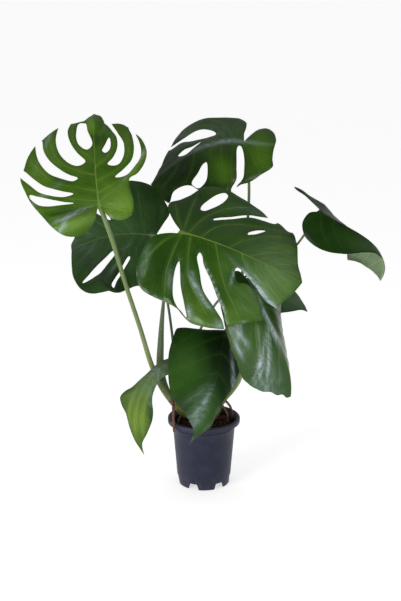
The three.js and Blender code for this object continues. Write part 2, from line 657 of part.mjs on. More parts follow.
// a flat net of triangles, which keeps for each directed edge the corner opposite it
class Net {
  constructor({ points, faces }) {
    this.points = points;
    this.opposite = new Map();
    for (const face of faces) this.add(...face);
  }

  static key(a, b) {
    return a * MOST_CORNERS + b;
  }

  add(a, b, c) {
    this.opposite.set(Net.key(a, b), c);
    this.opposite.set(Net.key(b, c), a);
    this.opposite.set(Net.key(c, a), b);
  }

  remove(a, b, c) {
    this.opposite.delete(Net.key(a, b));
    this.opposite.delete(Net.key(b, c));
    this.opposite.delete(Net.key(c, a));
  }

  apex(a, b) {
    return this.opposite.get(Net.key(a, b));
  }

  length(a, b) {
    const [p, q] = [this.points[a], this.points[b]];
    return Math.hypot(p[0] - q[0], p[1] - q[1]);
  }

  edges() {
    const list = [];
    for (const key of this.opposite.keys()) {
      const a = Math.floor(key / MOST_CORNERS);
      const b = key % MOST_CORNERS;
      if (a < b || this.apex(b, a) === undefined) list.push([a, b]);
    }
    return list;
  }

  faces() {
    const list = [];
    for (const [key, c] of this.opposite) {
      const a = Math.floor(key / MOST_CORNERS);
      const b = key % MOST_CORNERS;
      if (a < b && a < c) list.push([a, b, c]);
    }
    return list;
  }

  border() {
    return this.edges().filter(([a, b]) => this.apex(b, a) === undefined);
  }

  split(a, b, fraction) {
    const [p, q] = [this.points[a], this.points[b]];
    const middle = this.points.push([lerp(p[0], q[0], fraction), lerp(p[1], q[1], fraction)]) - 1;
    for (const [from, to] of [[a, b], [b, a]]) {
      const corner = this.apex(from, to);
      if (corner === undefined) continue;
      this.remove(from, to, corner);
      this.add(from, middle, corner);
      this.add(middle, to, corner);
    }
    return middle;
  }

  // the midrib, t = 0, becomes a row of edges, because the blade is creased there
  crease() {
    for (const point of this.points) {
      if (Math.abs(point[1]) < NEAR_MIDRIB) point[1] = 0;
    }
    for (const [a, b] of this.edges()) {
      const [ta, tb] = [this.points[a][1], this.points[b][1]];
      if (ta * tb >= 0) continue;
      const middle = this.split(a, b, ta / (ta - tb));
      this.points[middle][1] = 0;
    }
  }

  onMidrib(a, b) {
    return this.points[a][1] === 0 && this.points[b][1] === 0;
  }

  cornerAngle(a, b, c) {
    const [p, q, r] = [this.points[a], this.points[b], this.points[c]];
    const [ux, uy, vx, vy] = [p[0] - q[0], p[1] - q[1], r[0] - q[0], r[1] - q[1]];
    return Math.atan2(Math.abs(ux * vy - uy * vx), ux * vx + uy * vy);
  }

  turnsLeft(a, b, c) {
    const [p, q, r] = [this.points[a], this.points[b], this.points[c]];
    return (q[0] - p[0]) * (r[1] - p[1]) - (q[1] - p[1]) * (r[0] - p[0]) > FLATTEST_TURN;
  }

  // long thin triangles become rounder ones, by turning the edge between two of them
  even() {
    let turned = true;
    for (let pass = 0; turned && pass < MOST_PASSES; pass++) {
      turned = false;
      for (const [a, b] of this.edges()) {
        const c = this.apex(a, b);
        const d = this.apex(b, a);
        if (c === undefined || d === undefined || this.onMidrib(a, b)) continue;
        if (this.cornerAngle(a, c, b) + this.cornerAngle(a, d, b) < Math.PI + 1e-6) continue;
        if (!this.turnsLeft(a, d, c) || !this.turnsLeft(d, b, c)) continue;
        this.remove(a, b, c);
        this.remove(b, a, d);
        this.add(a, d, c);
        this.add(d, b, c);
        turned = true;
      }
    }
  }

  // whether no edge of the faces beside this one is longer
  leads(a, b) {
    const length = this.length(a, b);
    for (const corner of [this.apex(a, b), this.apex(b, a)]) {
      if (corner === undefined) continue;
      if (this.length(a, corner) > length + 1e-6 || this.length(b, corner) > length + 1e-6) return false;
    }
    return true;
  }

  refine(longest) {
    this.even();
    for (let pass = 0; pass < MOST_PASSES; pass++) {
      const long = this.edges().filter(([a, b]) => this.length(a, b) > longest);
      if (long.length === 0) return;
      long.sort((e, f) => this.length(...f) - this.length(...e));
      for (const [a, b] of long) {
        const whole = this.apex(a, b) !== undefined || this.apex(b, a) !== undefined;
        if (whole && this.leads(a, b)) this.split(a, b, 0.5);
      }
      this.even();
    }
  }
}

function ribDepth(s, length) {
  const start = THREE.MathUtils.smoothstep(s, RIB_START, RIB_START + RIB_RISE);
  return RIB * start * clamp(1 - s / length, 0, 1);
}

// both faces of the blade share one net of triangles, half the thickness each side of the bent surface
function bladeGeometry(leaf) {
  const surface = new LeafSurface(leaf);
  const net = new Net(flatTriangles(leaf));
  net.crease();
  net.refine(leaf.step ?? BLADE_STEP);
  const count = net.points.length;
  const positions = new Float32Array(count * 6);
  net.points.forEach(([s, t], i) => {
    const { point, normal } = surface.place(s, t);
    const rib = t === 0 ? ribDepth(s, surface.length) : 0;
    const upper = point.clone().addScaledVector(normal, BLADE / 2);
    const lower = point.clone().addScaledVector(normal, -BLADE / 2 - rib);
    upper.toArray(positions, i * 3);
    lower.toArray(positions, (count + i) * 3);
  });
  const index = [];
  // s, t and the upper side's direction are left-handed, so the upper face turns the other way from the net
  for (const [a, b, c] of net.faces()) {
    index.push(a, c, b);
    index.push(count + a, count + b, count + c);
  }
  for (const [a, b] of net.border()) {
    index.push(a, b, count + a);
    index.push(b, count + b, count + a);
  }
  const geometry = new THREE.BufferGeometry();
  geometry.setAttribute('position', new THREE.BufferAttribute(positions, 3));
  geometry.setIndex(index);
  return geometry;
}

// ---------------------------------------------------------------- the plant

const plant = new THREE.Group();
const stems = CLUMPS.map((clump) => clumpSolid(clump));
const stemRoom = CLUMPS.map((clump) => clumpSolid(clump, CLEARANCE));
const rootRoom = ROOTS.map(({ limb }) => limbSolid(limb, CLEARANCE));

plant.add(makePot());
plant.add(makeSoil([...stemRoom, ...rootRoom]));
CLUMPS.forEach(({ name }, i) => plant.add(named(name, stems[i], STALK_COLOUR, 0.5)));
for (const { name, limb } of ROOTS) {
  const root = stemRoom.reduce((rest, stem) => rest.subtract(stem), limbSolid(limb));
  plant.add(named(name, root, ROOT_COLOUR, 0.8));
}
for (const leaf of LEAVES) {
  plant.add(named(leaf.name, bladeGeometry(leaf), leaf.colour, 0.35));
}

export default plant;
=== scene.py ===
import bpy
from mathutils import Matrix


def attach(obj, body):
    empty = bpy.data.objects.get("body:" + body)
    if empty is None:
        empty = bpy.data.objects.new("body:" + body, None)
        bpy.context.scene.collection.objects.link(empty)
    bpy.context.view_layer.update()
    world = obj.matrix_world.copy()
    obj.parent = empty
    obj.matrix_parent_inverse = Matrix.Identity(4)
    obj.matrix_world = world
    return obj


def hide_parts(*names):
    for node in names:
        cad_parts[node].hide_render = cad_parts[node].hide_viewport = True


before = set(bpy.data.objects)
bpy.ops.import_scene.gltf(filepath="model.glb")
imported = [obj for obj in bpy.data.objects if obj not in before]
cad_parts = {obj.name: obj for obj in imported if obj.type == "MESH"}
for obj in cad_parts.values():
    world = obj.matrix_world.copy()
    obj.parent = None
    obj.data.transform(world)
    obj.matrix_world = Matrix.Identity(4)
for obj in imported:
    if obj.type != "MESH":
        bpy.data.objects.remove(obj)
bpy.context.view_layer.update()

import random
from math import cos, exp, pi, radians, sin, sqrt

import bmesh
import bpy
import numpy as np
from mathutils import Matrix, Vector, noise
from mathutils.geometry import delaunay_2d_cdt

# A potted monstera: two young plants with nine leaves in a tapered nursery pot.
# Shapes are given in millimetres and built in metres, +Z up, with the front of the plant towards -Y.
# The lamps of the studio are placed in metres.

MM = 0.001

# camera
CAMERA_PLACE = (-8, -2500, 1120)
CAMERA_PITCH = 15.1  # degrees below the horizontal
FOCAL_PIXELS = 1129.3
FRAME_HEIGHT_PIXELS = 601
SENSOR = 36
VIEW_DEPTH = 3000  # metres

# pot: outer radii at their heights
POT_HEIGHT = 163
LIP_RADIUS = 85
LIP_HEIGHT = 12
LIP_ROUND = 3
LIP_INNER_ROUND = 2.5
WALL_TOP_RADIUS = 74
SHOULDER_RADIUS = 63.6
SHOULDER_HEIGHT = 22
SHOULDER_ROUND = 1.2
FOOT_RADIUS = 60.5
SKIRT_ROUND = 0.6
WALL = 2
FLOOR_HEIGHT = 15
FLOOR = 2.4
UNDER_LIP = POT_HEIGHT - LIP_HEIGHT
FLOOR_TOP = FLOOR_HEIGHT + FLOOR
BEAD = 0.7  # how far the bead round the wall stands out
BEAD_DROP = 9  # from the lip's underside to the bead
NOTCH_COUNT = 6
NOTCH_FIRST_ANGLE = -24
NOTCH_HEIGHT = 14.5
NOTCH_CORNER = 2.5
NOTCH_WIDTH_BOTTOM = 27
NOTCH_WIDTH_TOP = 19
DRAIN_HOLES = 6
DRAIN_HOLE_RADIUS = 4.5
DRAIN_RING_RADIUS = 36
SOIL_TOP = 150
SOIL_GAP = 0.4
BLADE = 1.0  # thickness of a leaf

# fineness
CURVE_SAMPLES = 24  # for each stretch between two points of a curve
NET_STEP = 6
MARGIN_STEP = 3.5
VEIN_STEP = 4
STALK_STEP = 7
STEM_STEP = 2.5
ROOT_STEP = 1.6
STALK_SIDES = 24
STEM_SIDES = 28
ROOT_SIDES = 16
POT_SIDES = 144
HOLE_SIDES = 24
SOIL_SIDES = 120
SOIL_RINGS = 40

# ---- the plant's shapes

# A blade is drawn flat in leaf coordinates (s, t): s runs along the midrib from the stalk to the tip, and t
# across it, negative on the left half.
#   slot, look: the name of its slot, and its material by name
#   seed: its place in the noise of its waves
#   swell, roll: how far it swells between its side veins and how far its edges roll down
#   midrib: the control points of a cubic curve, as x, y, z
#   faces: the upper side's direction at the stalk and at the tip, as x, y, z
#   fold: the lift in degrees of the left half at the stalk and at the tip, then of the right half
#   curl: the further bend in degrees of the left and of the right half for every 100 mm from the midrib
#   left, right: its outline from the stalk to the tip and back, as s, t
#   cuts: the closed outlines of its cuts and holes, as s, t
#   left_veins, right_veins: side veins from the midrib outwards, as s, t; plain_veins lays them elsewhere
#   bulges, fresh, painted_sheen: marks for spots(): in millimetres of height; a fresher green, and painted
#       shade where negative; and a painted grey sheen and highlights

LEAVES = {}

LEAVES["leaf_upper_left"] = dict(
    slot="leaf", look="fresh", seed=1, swell=2, roll=1.8,
    midrib=(-224, -130, 689, -232, -112, 737, -238, -75, 811, -242, 0, 863),
    faces=(-0.02, -0.86, 0.5, -0.02, -0.7, 0.71), fold=(8, 0, 10, 0), curl=(-3.5, -3.5),
    left=(-6, -4, -30, -13, -50, -31, -59, -52, -56, -76, -42, -97, -3, -124, 20, -141, 42, -151, 72, -160,
          88, -153, 121, -142, 152, -122, 181, -91, 199, -63, 208, -33, 214, -14, 231, 0),
    right=(231, 0, 220, 14, 199, 29, 197, 53, 186, 72, 160, 93, 140, 105, 109, 113, 77, 104, 60, 90, 51, 72,
           29, 71, 1, 75, -26, 70, -37, 57, -38, 37, -28, 19, -6, 4),
    cuts=[
        (130, -15, 143, -32, 160, -38, 176, -38, 202, -33, 203, -19, 182, -14, 142, -4),
        (102, -20, 124, -37, 153, -52, 180, -57, 212, -50, 210, -68, 177, -80, 151, -82, 122, -74, 100, -56,
         92, -35),
        (64, -38, 72, -54, 86, -75, 109, -97, 133, -109, 162, -114, 160, -124, 124, -124, 99, -115, 78, -98,
         64, -69, 58, -48),
        (31, -50, 38, -72, 46, -96, 53, -112, 67, -130, 90, -156, 84, -166, 55, -139, 39, -119, 27, -73),
        (12, -51, 17, -74, 26, -106, 33, -128, 37, -143, 31, -143, 23, -136, 15, -125, 11, -104, 11, -75),
        (124, 17, 139, 24, 158, 33, 140, 36, 126, 33, 119, 24),
        (91, 27, 106, 40, 129, 50, 157, 49, 180, 38, 206, 22, 208, 30, 180, 47, 166, 53, 139, 64, 108, 63,
         88, 51, 86, 36),
        (59, 41, 74, 61, 93, 79, 121, 86, 157, 83, 184, 76, 176, 92, 161, 91, 140, 97, 115, 101, 95, 97,
         77, 85, 61, 68, 57, 50),
    ],
    left_veins=[(0, 0, -22, -30, -44, -64), (0, 0, -3, -50, -16, -104), (10, 0, 18, -46, 30, -104, 42, -134),
                (32, 0, 44, -50, 60, -96, 112, -142), (68, 0, 80, -40, 104, -78, 160, -98),
                (100, 0, 128, -30, 165, -46, 206, -42)],
    right_veins=[(0, 0, -10, 25, -23, 54), (6, 0, 22, 26, 42, 64), (26, 0, 44, 42, 62, 78, 104, 106),
                 (54, 0, 72, 44, 104, 70, 166, 70), (86, 0, 108, 28, 134, 42, 170, 38)],
    bulges=[(-26, -60, 75, 46, 12, 12), (-4, -60, 90, 50, 6, -6), (196, 0, 0, 20, 13, 15),
            (186, 16, 20, 22, 5, -6), (184, -15, -16, 22, 5, -6), (214, 4, 80, 16, 7, 5)],
    # fresh: the negative marks are painted shade, on the crease of the lower left lobe and near the curled
    # tip
    fresh=[(-34, -75, 75, 56, 18, 1), (-3, -60, 90, 50, 5, -1), (-5, 50, 90, 50, 45, 0.9),
           (90, -120, 30, 90, 34, 0.4), (10, -110, 80, 50, 24, 0.4), (152, 6, 90, 16, 12, -0.45),
           (192, -3, 0, 16, 9, 0.5), (84, 94, 38, 44, 7, 1)],
    painted_sheen=[(86, 88, 38, 36, 3, 0.9), (-14, -64, 73, 32, 4, 1.4), (-36, -82, 40, 16, 5, 0.8),
           (24, -128, 60, 50, 5, 0.4), (150, -104, 20, 50, 4, 0.4)],
)

LEAVES["leaf_behind_left"] = dict(
    slot="leaf_dark", look="dark", seed=2, swell=2.4, roll=1.6,
    midrib=(-115, 30, 590, -173, 25, 603, -240, 10, 597, -297, -30, 568),
    faces=(0.05, -0.88, 0.48, -0.25, -0.85, 0.45), fold=(6, 6, 6, 6), curl=(-6, -6),
    left=(-6, -5, -30, -15, -52, -40, -55, -75, -35, -105, 0, -120, 40, -124, 103, -135, 179, -140, 213, -128,
          237, -112, 244, -91, 239, -61, 224, -35, 206, -10, 198, 0),
    right=(198, 0, 189, 14, 174, 25, 162, 52, 146, 86, 120, 112, 85, 125, 51, 127, 27, 122, 7, 110, -12, 85,
           -27, 60, -18, 35, -6, 5),
    cuts=[
        (102, -37, 130, -49, 160, -60, 200, -73, 232, -84, 214, -87, 178, -84, 123, -60, 98, -42),
        (62, -54, 98, -86, 130, -104, 162, -121, 160, -127, 128, -111, 96, -93, 59, -57),
        (92, 36, 110, 52, 124, 76, 128, 92, 118, 86, 102, 66),
        (50, 44, 66, 62, 76, 88, 76, 104, 66, 92, 54, 66),
    ],
    left_veins=[(0, 0, -25, -30, -40, -70), (6, 0, 4, -50, 20, -110), (24, 0, 40, -34, 66, -80, 120, -124),
                (46, 0, 66, -34, 104, -66, 176, -104), (86, 0, 112, -26, 190, -62, 232, -74),
                (130, 0, 165, -22, 222, -40)],
    right_veins=[(0, 0, -8, 30, -10, 80), (20, 0, 30, 34, 38, 96), (50, 0, 78, 50, 96, 104),
                 (88, 0, 124, 44, 142, 78), (126, 0, 150, 26, 166, 40)],
    bulges=[(110, -76, 150, 60, 14, 4)],
    fresh=[(60, 20, 0, 50, 40, 0.4), (60, -60, 60, 60, 40, 0.3)],
    painted_sheen=[(114, -76, 150, 30, 4, 0.3), (70, -32, 150, 16, 3, 0.25), (165, 20, 90, 60, 40, 0.12),
           (2, 0, 0, 7, 5, 0.6)],
)

LEAVES["leaf_top"] = dict(
    slot="leaf", look="shaded", seed=3, swell=2, roll=1.8,
    midrib=(89, 128, 793, 23, 113, 801, -46, 86, 772, -122, 53, 704),
    faces=(-0.1, -0.32, 0.95, -0.75, -0.25, 0.6), fold=(-40, -45, 24, 12), curl=(-23, -6),
    left=(-5, 2, -20, 20, -48, 46, -66, 50, -81, 39, -85, 18, -76, -14, -73, -37, -74, -54, -46, -76,
          -20, -95, 27, -109, 57, -117, 103, -112, 142, -99, 168, -82, 177, -64, 193, -54, 222, -50, 249, -63,
          252, -48, 247, -22, 247, 0),
    right=(247, 0, 232, 7, 210, 22, 183, 40, 152, 59, 122, 83, 97, 95, 70, 98, 42, 90, 15, 79, -6, 76,
           -18, 66, -16, 48, -8, 26, -5, 6),
    cuts=[
        (5, -11, -1, -21, -5, -61, -1, -91, 28, -107, 40, -128, 66, -128, 61, -114, 27, -91, 21, -62,
         12, -13),
        (106, -34, 118, -36, 141, -48, 172, -61, 171, -72, 164, -79, 131, -71, 109, -44),
        (52, 33, 58, 49, 72, 61, 98, 63, 124, 59, 156, 60, 157, 54, 125, 51, 108, 42, 83, 33, 56, 29),
        (90, 24, 112, 22, 132, 25, 153, 19, 148, 11, 137, 8, 114, 14),
    ],
    left_veins=[(0, 0, -30, -8, -60, -6), (0, 0, -20, -30, -40, -64), (20, 0, 38, -50, 58, -104),
                (50, 0, 70, -50, 96, -104), (78, 0, 98, -44, 128, -84),
                (118, 0, 140, -24, 180, -48, 222, -44), (160, 0, 190, -16, 230, -24)],
    right_veins=[(0, 0, -2, 30, 0, 66), (16, 0, 26, 40, 40, 80), (36, 0, 46, 40, 70, 74, 110, 84),
                 (58, 0, 80, 22, 118, 34, 182, 28), (150, 0, 185, 8, 215, 12)],
    # fresh: the two bright marks paint the glow of light through the near half; the negative one is painted
    # shade
    fresh=[(74, -70, 90, 44, 34, 0.9), (-46, -10, 90, 60, 34, 0.9), (170, -20, 90, 60, 50, -0.5)],
    painted_sheen=[(50, 3, 2, 80, 6, 0.7), (100, 50, 10, 90, 30, 0.18)],
)

LEAVES["leaf_centre"] = dict(
    slot="leaf", look="middle", seed=4, swell=2.4, roll=2.2,
    midrib=(-49, -73, 620, 39, -98, 604, 125, -123, 565, 211, -163, 528),
    faces=(0.05, -0.8, 0.6, 0.22, -0.8, 0.57), fold=(-12, -12, -12, -12), curl=(-3.5, -3.5),
    left=(-6, -5, -22, -20, -41, -41, -54, -62, -53, -76, -32, -92, -8, -130, 2, -145, 25, -159, 53, -157,
          80, -150, 127, -137, 155, -122, 175, -125, 198, -116, 209, -117, 229, -93, 255, -46, 289, 0),
    right=(289, 0, 285, 26, 275, 53, 267, 77, 261, 106, 240, 122, 220, 137, 197, 151, 185, 166, 161, 175,
           133, 181, 103, 184, 86, 181, 66, 173, 49, 165, 6, 158, -20, 154, -48, 146, -64, 132, -77, 100,
           -76, 69, -68, 35, -54, 19, -24, 7, -6, 4),
    cuts=[
        (17, -76, 16, -92, 24, -114, 36, -135, 48, -144, 55, -139, 53, -121, 38, -94, 24, -76),
        (51, -59, 85, -79, 124, -106, 168, -120, 168, -128, 122, -112, 83, -84, 50, -62),
        (128, -52, 136, -68, 148, -81, 159, -87, 151, -72, 140, -60),
        (14, 64, 11, 75, 15, 113, 28, 144, 46, 160, 64, 168, 83, 176, 66, 154, 38, 116, 18, 70),
        (54, 33, 52, 43, 68, 69, 95, 107, 138, 133, 171, 152, 192, 172, 196, 166, 174, 146, 168, 137,
         141, 116, 105, 83, 72, 54, 63, 39),
        (146, 35, 146, 44, 162, 63, 186, 58, 217, 71, 262, 112, 276, 92, 268, 77, 239, 73, 204, 55, 152, 34),
    ],
    left_veins=[(0, 0, -22, -36, -40, -72), (2, 0, -1, -46, -4, -104), (14, 0, 29, -50, 52, -88, 112, -134),
                (44, 0, 64, -40, 104, -70, 190, -106), (110, 0, 128, -28, 172, -74, 214, -98),
                (160, 0, 184, -24, 232, -66), (208, 0, 226, -16, 256, -36)],
    right_veins=[(0, 0, -31, 26, -58, 72, -56, 110), (0, 0, -7, 49, -9, 96, 0, 140),
                 (20, 0, 31, 48, 54, 98, 120, 150), (78, 0, 104, 39, 142, 84, 196, 124),
                 (140, 0, 166, 26, 212, 46, 262, 72), (198, 0, 222, 16, 268, 34)],
    bulges=[(70, 130, 60, 40, 12, 4), (120, 165, 10, 30, 12, 4), (160, 40, 40, 30, 10, 4)],
    fresh=[(230, 20, 90, 80, 62, 1), (110, 160, 30, 60, 30, 0.8), (-20, 76, 90, 60, 34, -0.3),
           (190, 150, 60, 40, 30, 0.6), (0, -80, 90, 60, 50, -0.3)],
    painted_sheen=[(160, -130, -10, 60, 10, 0.28), (206, 53, 21, 56, 3, 2), (147, 57, 80, 14, 3, 0.9),
           (196, 40, 28, 40, 9, 0.3), (258, 82, 20, 14, 8, 1.2), (224, 14, 80, 90, 60, 0.13),
           (64, 95, 45, 22, 6, 0.8), (91, 117, 35, 24, 5, 0.9), (122, 134, 21, 20, 3, 0.9),
           (106, 81, 41, 46, 2, 1), (152, 120, 40, 32, 2, 0.8), (86, 165, 50, 16, 9, 0.6),
           (168, 163, 0, 12, 8, 0.8), (6, 108, 75, 22, 7, 0.35), (-62, 90, 90, 40, 8, 0.3)],
)

LEAVES["leaf_right"] = dict(
    slot="leaf_dark", look="deep", seed=5, swell=0.8, roll=1.6,
    midrib=(255, -80, 667, 313, -88, 626, 425, -92, 602, 384, -96, 508),
    faces=(0.1, -0.35, 0.94, 0.95, 0, 0.3), fold=(-14, -46, -42, 25), curl=(-7, -23),
    left=(-6, -4, -20, -12, -38, -20, -56, -26, -74, -26, -78, -36, -62, -48, -40, -58, 0, -72, 36, -94,
          70, -124, 106, -144, 146, -138, 180, -100, 201, -54, 213, -20, 224, 0),
    right=(224, 0, 203, 8, 179, 18, 150, 34, 118, 57, 95, 69, 72, 74, 38, 76, 6, 68, -9, 58, -18, 48, -22, 36,
           -20, 17, -6, 4),
    fresh=[(120, 36, 10, 60, 26, 0.8)],
    painted_sheen=[(50, -26, -10, 60, 12, 0.35)],
)

LEAVES["leaf_lower_right"] = dict(
    slot="leaf", look="glossy", seed=6, swell=1.8, roll=1.8,
    midrib=(115, -100, 494, 128, -145, 463, 199, -172, 352, 191, -152, 267),
    faces=(0, -0.9, 0.42, 0.1, -0.97, 0.1), fold=(-44, -88, -4, -4), curl=(-23, -28),
    left=(-6, -4, -28, -18, -38, -45, -20, -72, 15, -90, 60, -97, 110, -90, 150, -80, 190, -68, 218, -54,
          240, -38, 252, -16, 257, 0),
    right=(257, 0, 261, 9, 253, 19, 257, 31, 250, 46, 256, 63, 249, 76, 234, 91, 194, 106, 162, 109, 111, 108,
           60, 101, 15, 92, -30, 80, -60, 64, -74, 42, -72, 24, -52, 14, -25, 8, -6, 4),
    right_veins=[(0, 0, -8, 40, 10, 80), (4, 0, 34, 44, 100, 76), (30, 0, 72, 34, 150, 60),
                 (70, 0, 120, 24, 190, 42), (120, 0, 164, 16, 214, 24)],
    bulges=[(78, 74, 20, 30, 12, 5), (60, -16, 0, 60, 12, -6)],
    fresh=[(90, 50, 10, 70, 50, 0.5), (120, 10, 8, 60, 8, -0.4)],
    painted_sheen=[(66, 72, 20, 24, 9, 0.9), (106, 90, 0, 24, 6, 0.7), (94, 68, 0, 16, 5, 0.8),
           (196, 52, 14, 50, 22, 0.2), (141, 30, 19, 56, 3, 1.1), (152, 53, 30, 46, 3, 1.1),
           (180, 60, 26, 40, 3, 0.7), (70, 2, 0, 60, 3, 1.6), (66, 7, 0, 60, 2, 1.2),
           (250, 60, 30, 50, 30, 0.26)],
)

LEAVES["leaf_behind_right"] = dict(
    slot="leaf_dark", look="dark", seed=7, swell=0.8, roll=1.4,
    midrib=(125, 110, 437, 162, 105, 438, 204, 80, 425, 243, 50, 404),
    faces=(0.2, -0.6, 0.75, 0.5, -0.6, 0.5), fold=(-5, -5, -5, -5), curl=(-11, -11),
    left=(-6, -4, -25, -15, -35, -35, -20, -55, 15, -62, 50, -55, 78, -42, 100, -30, 118, -17, 139, 0),
    right=(139, 0, 126, 4, 113, 19, 95, 37, 65, 52, 25, 62, -15, 60, -35, 40, -25, 15, -6, 4),
    fresh=[(120, 0, 0, 70, 60, 1)],
)

LEAVES["leaf_front"] = dict(
    slot="leaf_dark", look="deep", seed=8, swell=0.8, roll=1.8,
    midrib=(46, -10, 371, 46, -58, 430, 45, -95, 250, -34, -108, 137),
    faces=(0, -0.35, 0.94, 0, -0.97, 0.1), fold=(45, 30, 0, 0), curl=(6, 6),
    left=(-6, -5, -28, -20, -38, -45, -20, -64, 20, -74, 66, -75, 108, -68, 140, -56, 164, -45, 190, -34,
          214, -28, 242, -26, 263, -15, 282, -5, 303, 0),
    right=(303, 0, 286, 2, 271, 8, 256, 26, 242, 46, 221, 77, 195, 96, 143, 113, 100, 118, 59, 114, 30, 108,
           8, 96, -14, 78, -30, 56, -34, 38, -26, 20, -6, 5),
    bulges=[(200, 14, 10, 50, 12, 4)],
    # fresh: the negative marks are painted shade on the upper part, under the leaves above it
    fresh=[(150, 80, 20, 80, 44, 1), (240, 0, -20, 60, 40, 1), (50, -10, 0, 50, 50, -1.2),
           (110, -40, -20, 60, 30, -0.8)],
    painted_sheen=[(196, 10, 10, 30, 6, 0.5), (190, 34, 30, 40, 8, 0.15), (145, -56, -18, 60, 5, 0.6),
           (240, 16, 8, 40, 16, 0.4)],
)

LEAVES["leaf_small_left"] = dict(
    slot="leaf_young", look="young", seed=9, swell=0.8, roll=1.4,
    midrib=(-64, -34, 306, -137, -90, 315, -177, -92, 218, -138, -70, 94),
    faces=(-0.25, -0.6, 0.75, -0.2, -0.95, 0.1), fold=(-5, -5, -5, -5), curl=(-11, -11),
    left=(-6, -4, -12, -14, 0, -22, 36, -23, 57, -21, 84, -24, 123, -30, 155, -37, 185, -35, 221, -20,
          246, -4, 277, 0),
    right=(277, 0, 258, 5, 237, 12, 205, 20, 174, 29, 158, 42, 144, 49, 130, 42, 115, 28, 90, 17, 65, 13,
           19, 22, 0, 22, -12, 14, -6, 4),
    fresh=[(180, 4, 6, 70, 26, 0.55), (150, -36, -4, 90, 9, -0.7), (165, -14, 3, 70, 4, 0.7),
           (180, 4, 5, 60, 3, 0.6), (165, 20, 6, 50, 4, 0.7)],
    painted_sheen=[(50, 0, 0, 44, 30, 0.36), (118, -26, -8, 34, 6, 0.2)],
)

# Stems, stalks and roots are rows of x, y, z and radius. With a stalk go its leaf's name, its tone, and the
# share of its length that the sheath wraps.
CLUMPS = {}

CLUMPS["stem_left"] = dict(
    stem=(-33, 35, 128, 13, -40, 28, 152, 13, -50, 12, 172, 12.5, -62, -8, 194, 12, -76, -26, 216, 9),
    stalks=[
        ("leaf_upper_left", "pale", 0.42, (
            -70, -20, 202, 8, -95, -26, 240, 7, -119, -28, 294, 6, -144, -58, 396, 5.2, -174, -94, 512, 5,
            -198, -118, 612, 5.2, -216, -126, 670, 5.4, -223.5, -122.5, 689, 5,
        )),
        ("leaf_behind_left", "dark", 0.2, (
            -58, -6, 190, 7, -65, 10, 269, 4.5, -74, 15, 360, 3.2, -84, 18, 435, 3, -104, 30, 531, 3,
            -114, 35, 574, 3.2, -115, 35, 588, 3.2,
        )),
        ("leaf_centre", "dark", 0.62, (
            -70, -22, 206, 9, -91, -16, 238, 9.5, -101, -8, 281, 9.5, -100, -8, 346, 7.4, -92, -24, 449, 3.6,
            -79, -43, 544, 3.2, -59, -63, 603, 3.4, -49.5, -68, 616.5, 3.4,
        )),
        ("leaf_right", "dark", 0.2, (
            -58, -10, 192, 7, -36, 36, 296, 3.6, 28, 48, 425, 2.8, 112, 16, 510, 2.6, 190, -40, 568, 2.6,
            219, -66, 611, 2.6, 240, -77, 651, 2.8, 254, -78, 662.5, 2.8,
        )),
        ("leaf_small_left", "dark", 0.3, (
            -58, -6, 186, 7, -50, 4, 228, 5, -52, -4, 272, 4.4, -60, -22, 296, 4, -63, -30, 301.5, 3.6,
        )),
    ],
)

CLUMPS["stem_right"] = dict(
    stem=(20, 30, 128, 12, 23, 26, 150, 12, 29, 22, 170, 11.5, 38, 17, 192, 9),
    stalks=[
        ("leaf_lower_right", "pale", 0.6, (
            34, 18, 182, 9, 50, 8, 210, 9, 63, -2, 228, 8.5, 79, -16, 258, 7.5, 86, -26, 288, 6.5,
            99, -44, 336, 5.6, 110, -66, 408, 4.6, 113, -88, 468, 4, 115, -95, 491.6, 3.8,
        )),
        ("leaf_top", "pale", 0.35, (
            38, 18, 184, 7, 62, 40, 314, 4.4, 89, 84, 474, 3.8, 105, 115, 649, 3.4, 104, 128, 722, 3.4,
            96, 131, 772, 3.2, 89.5, 130, 787.6, 3,
        )),
        ("leaf_behind_right", "dark", 0.25, (
            38, 20, 184, 6, 76, 60, 295, 3.6, 106, 100, 383, 3, 121, 110, 420, 3, 124.5, 112, 432.8, 3,
        )),
        ("leaf_front", "pale", 0.35, (
            36, 14, 182, 7, 49, 14, 248, 5.4, 51, 8, 313, 4.6, 47, 2, 353, 4, 45.6, -1.5, 362, 3.6,
        )),
    ],
)

ROOTS = {
    "root_over_rim": (-71, -36, 214, 3.6, -70.5, -52, 194, 3.4, -70.5, -58, 172, 3.2, -69.5, -57, 146, 2.2),
    "root_left": (-44, 18, 168, 2.4, -54, 0, 164, 2.2, -60, -12, 157, 2, -61, -16, 144, 1.6),
    "root_right": (40, 14, 204, 3.2, 54, 12, 194, 3, 64, 13, 178, 2.8, 69, 14, 146, 2.2),
    "root_right_inner": (36, 10, 192, 2.8, 48, 4, 182, 2.6, 56, 1, 166, 2.4, 58, 0, 146, 2),
}


# ---- mesh helpers

def smoothstep(low, high, x):
    u = np.clip((x - low) / (high - low), 0, 1)
    return u * u * (3 - 2 * u)


def rows(numbers, width=2):
    """A plain row of numbers as points."""
    return np.reshape(np.array(numbers, float), (-1, width))


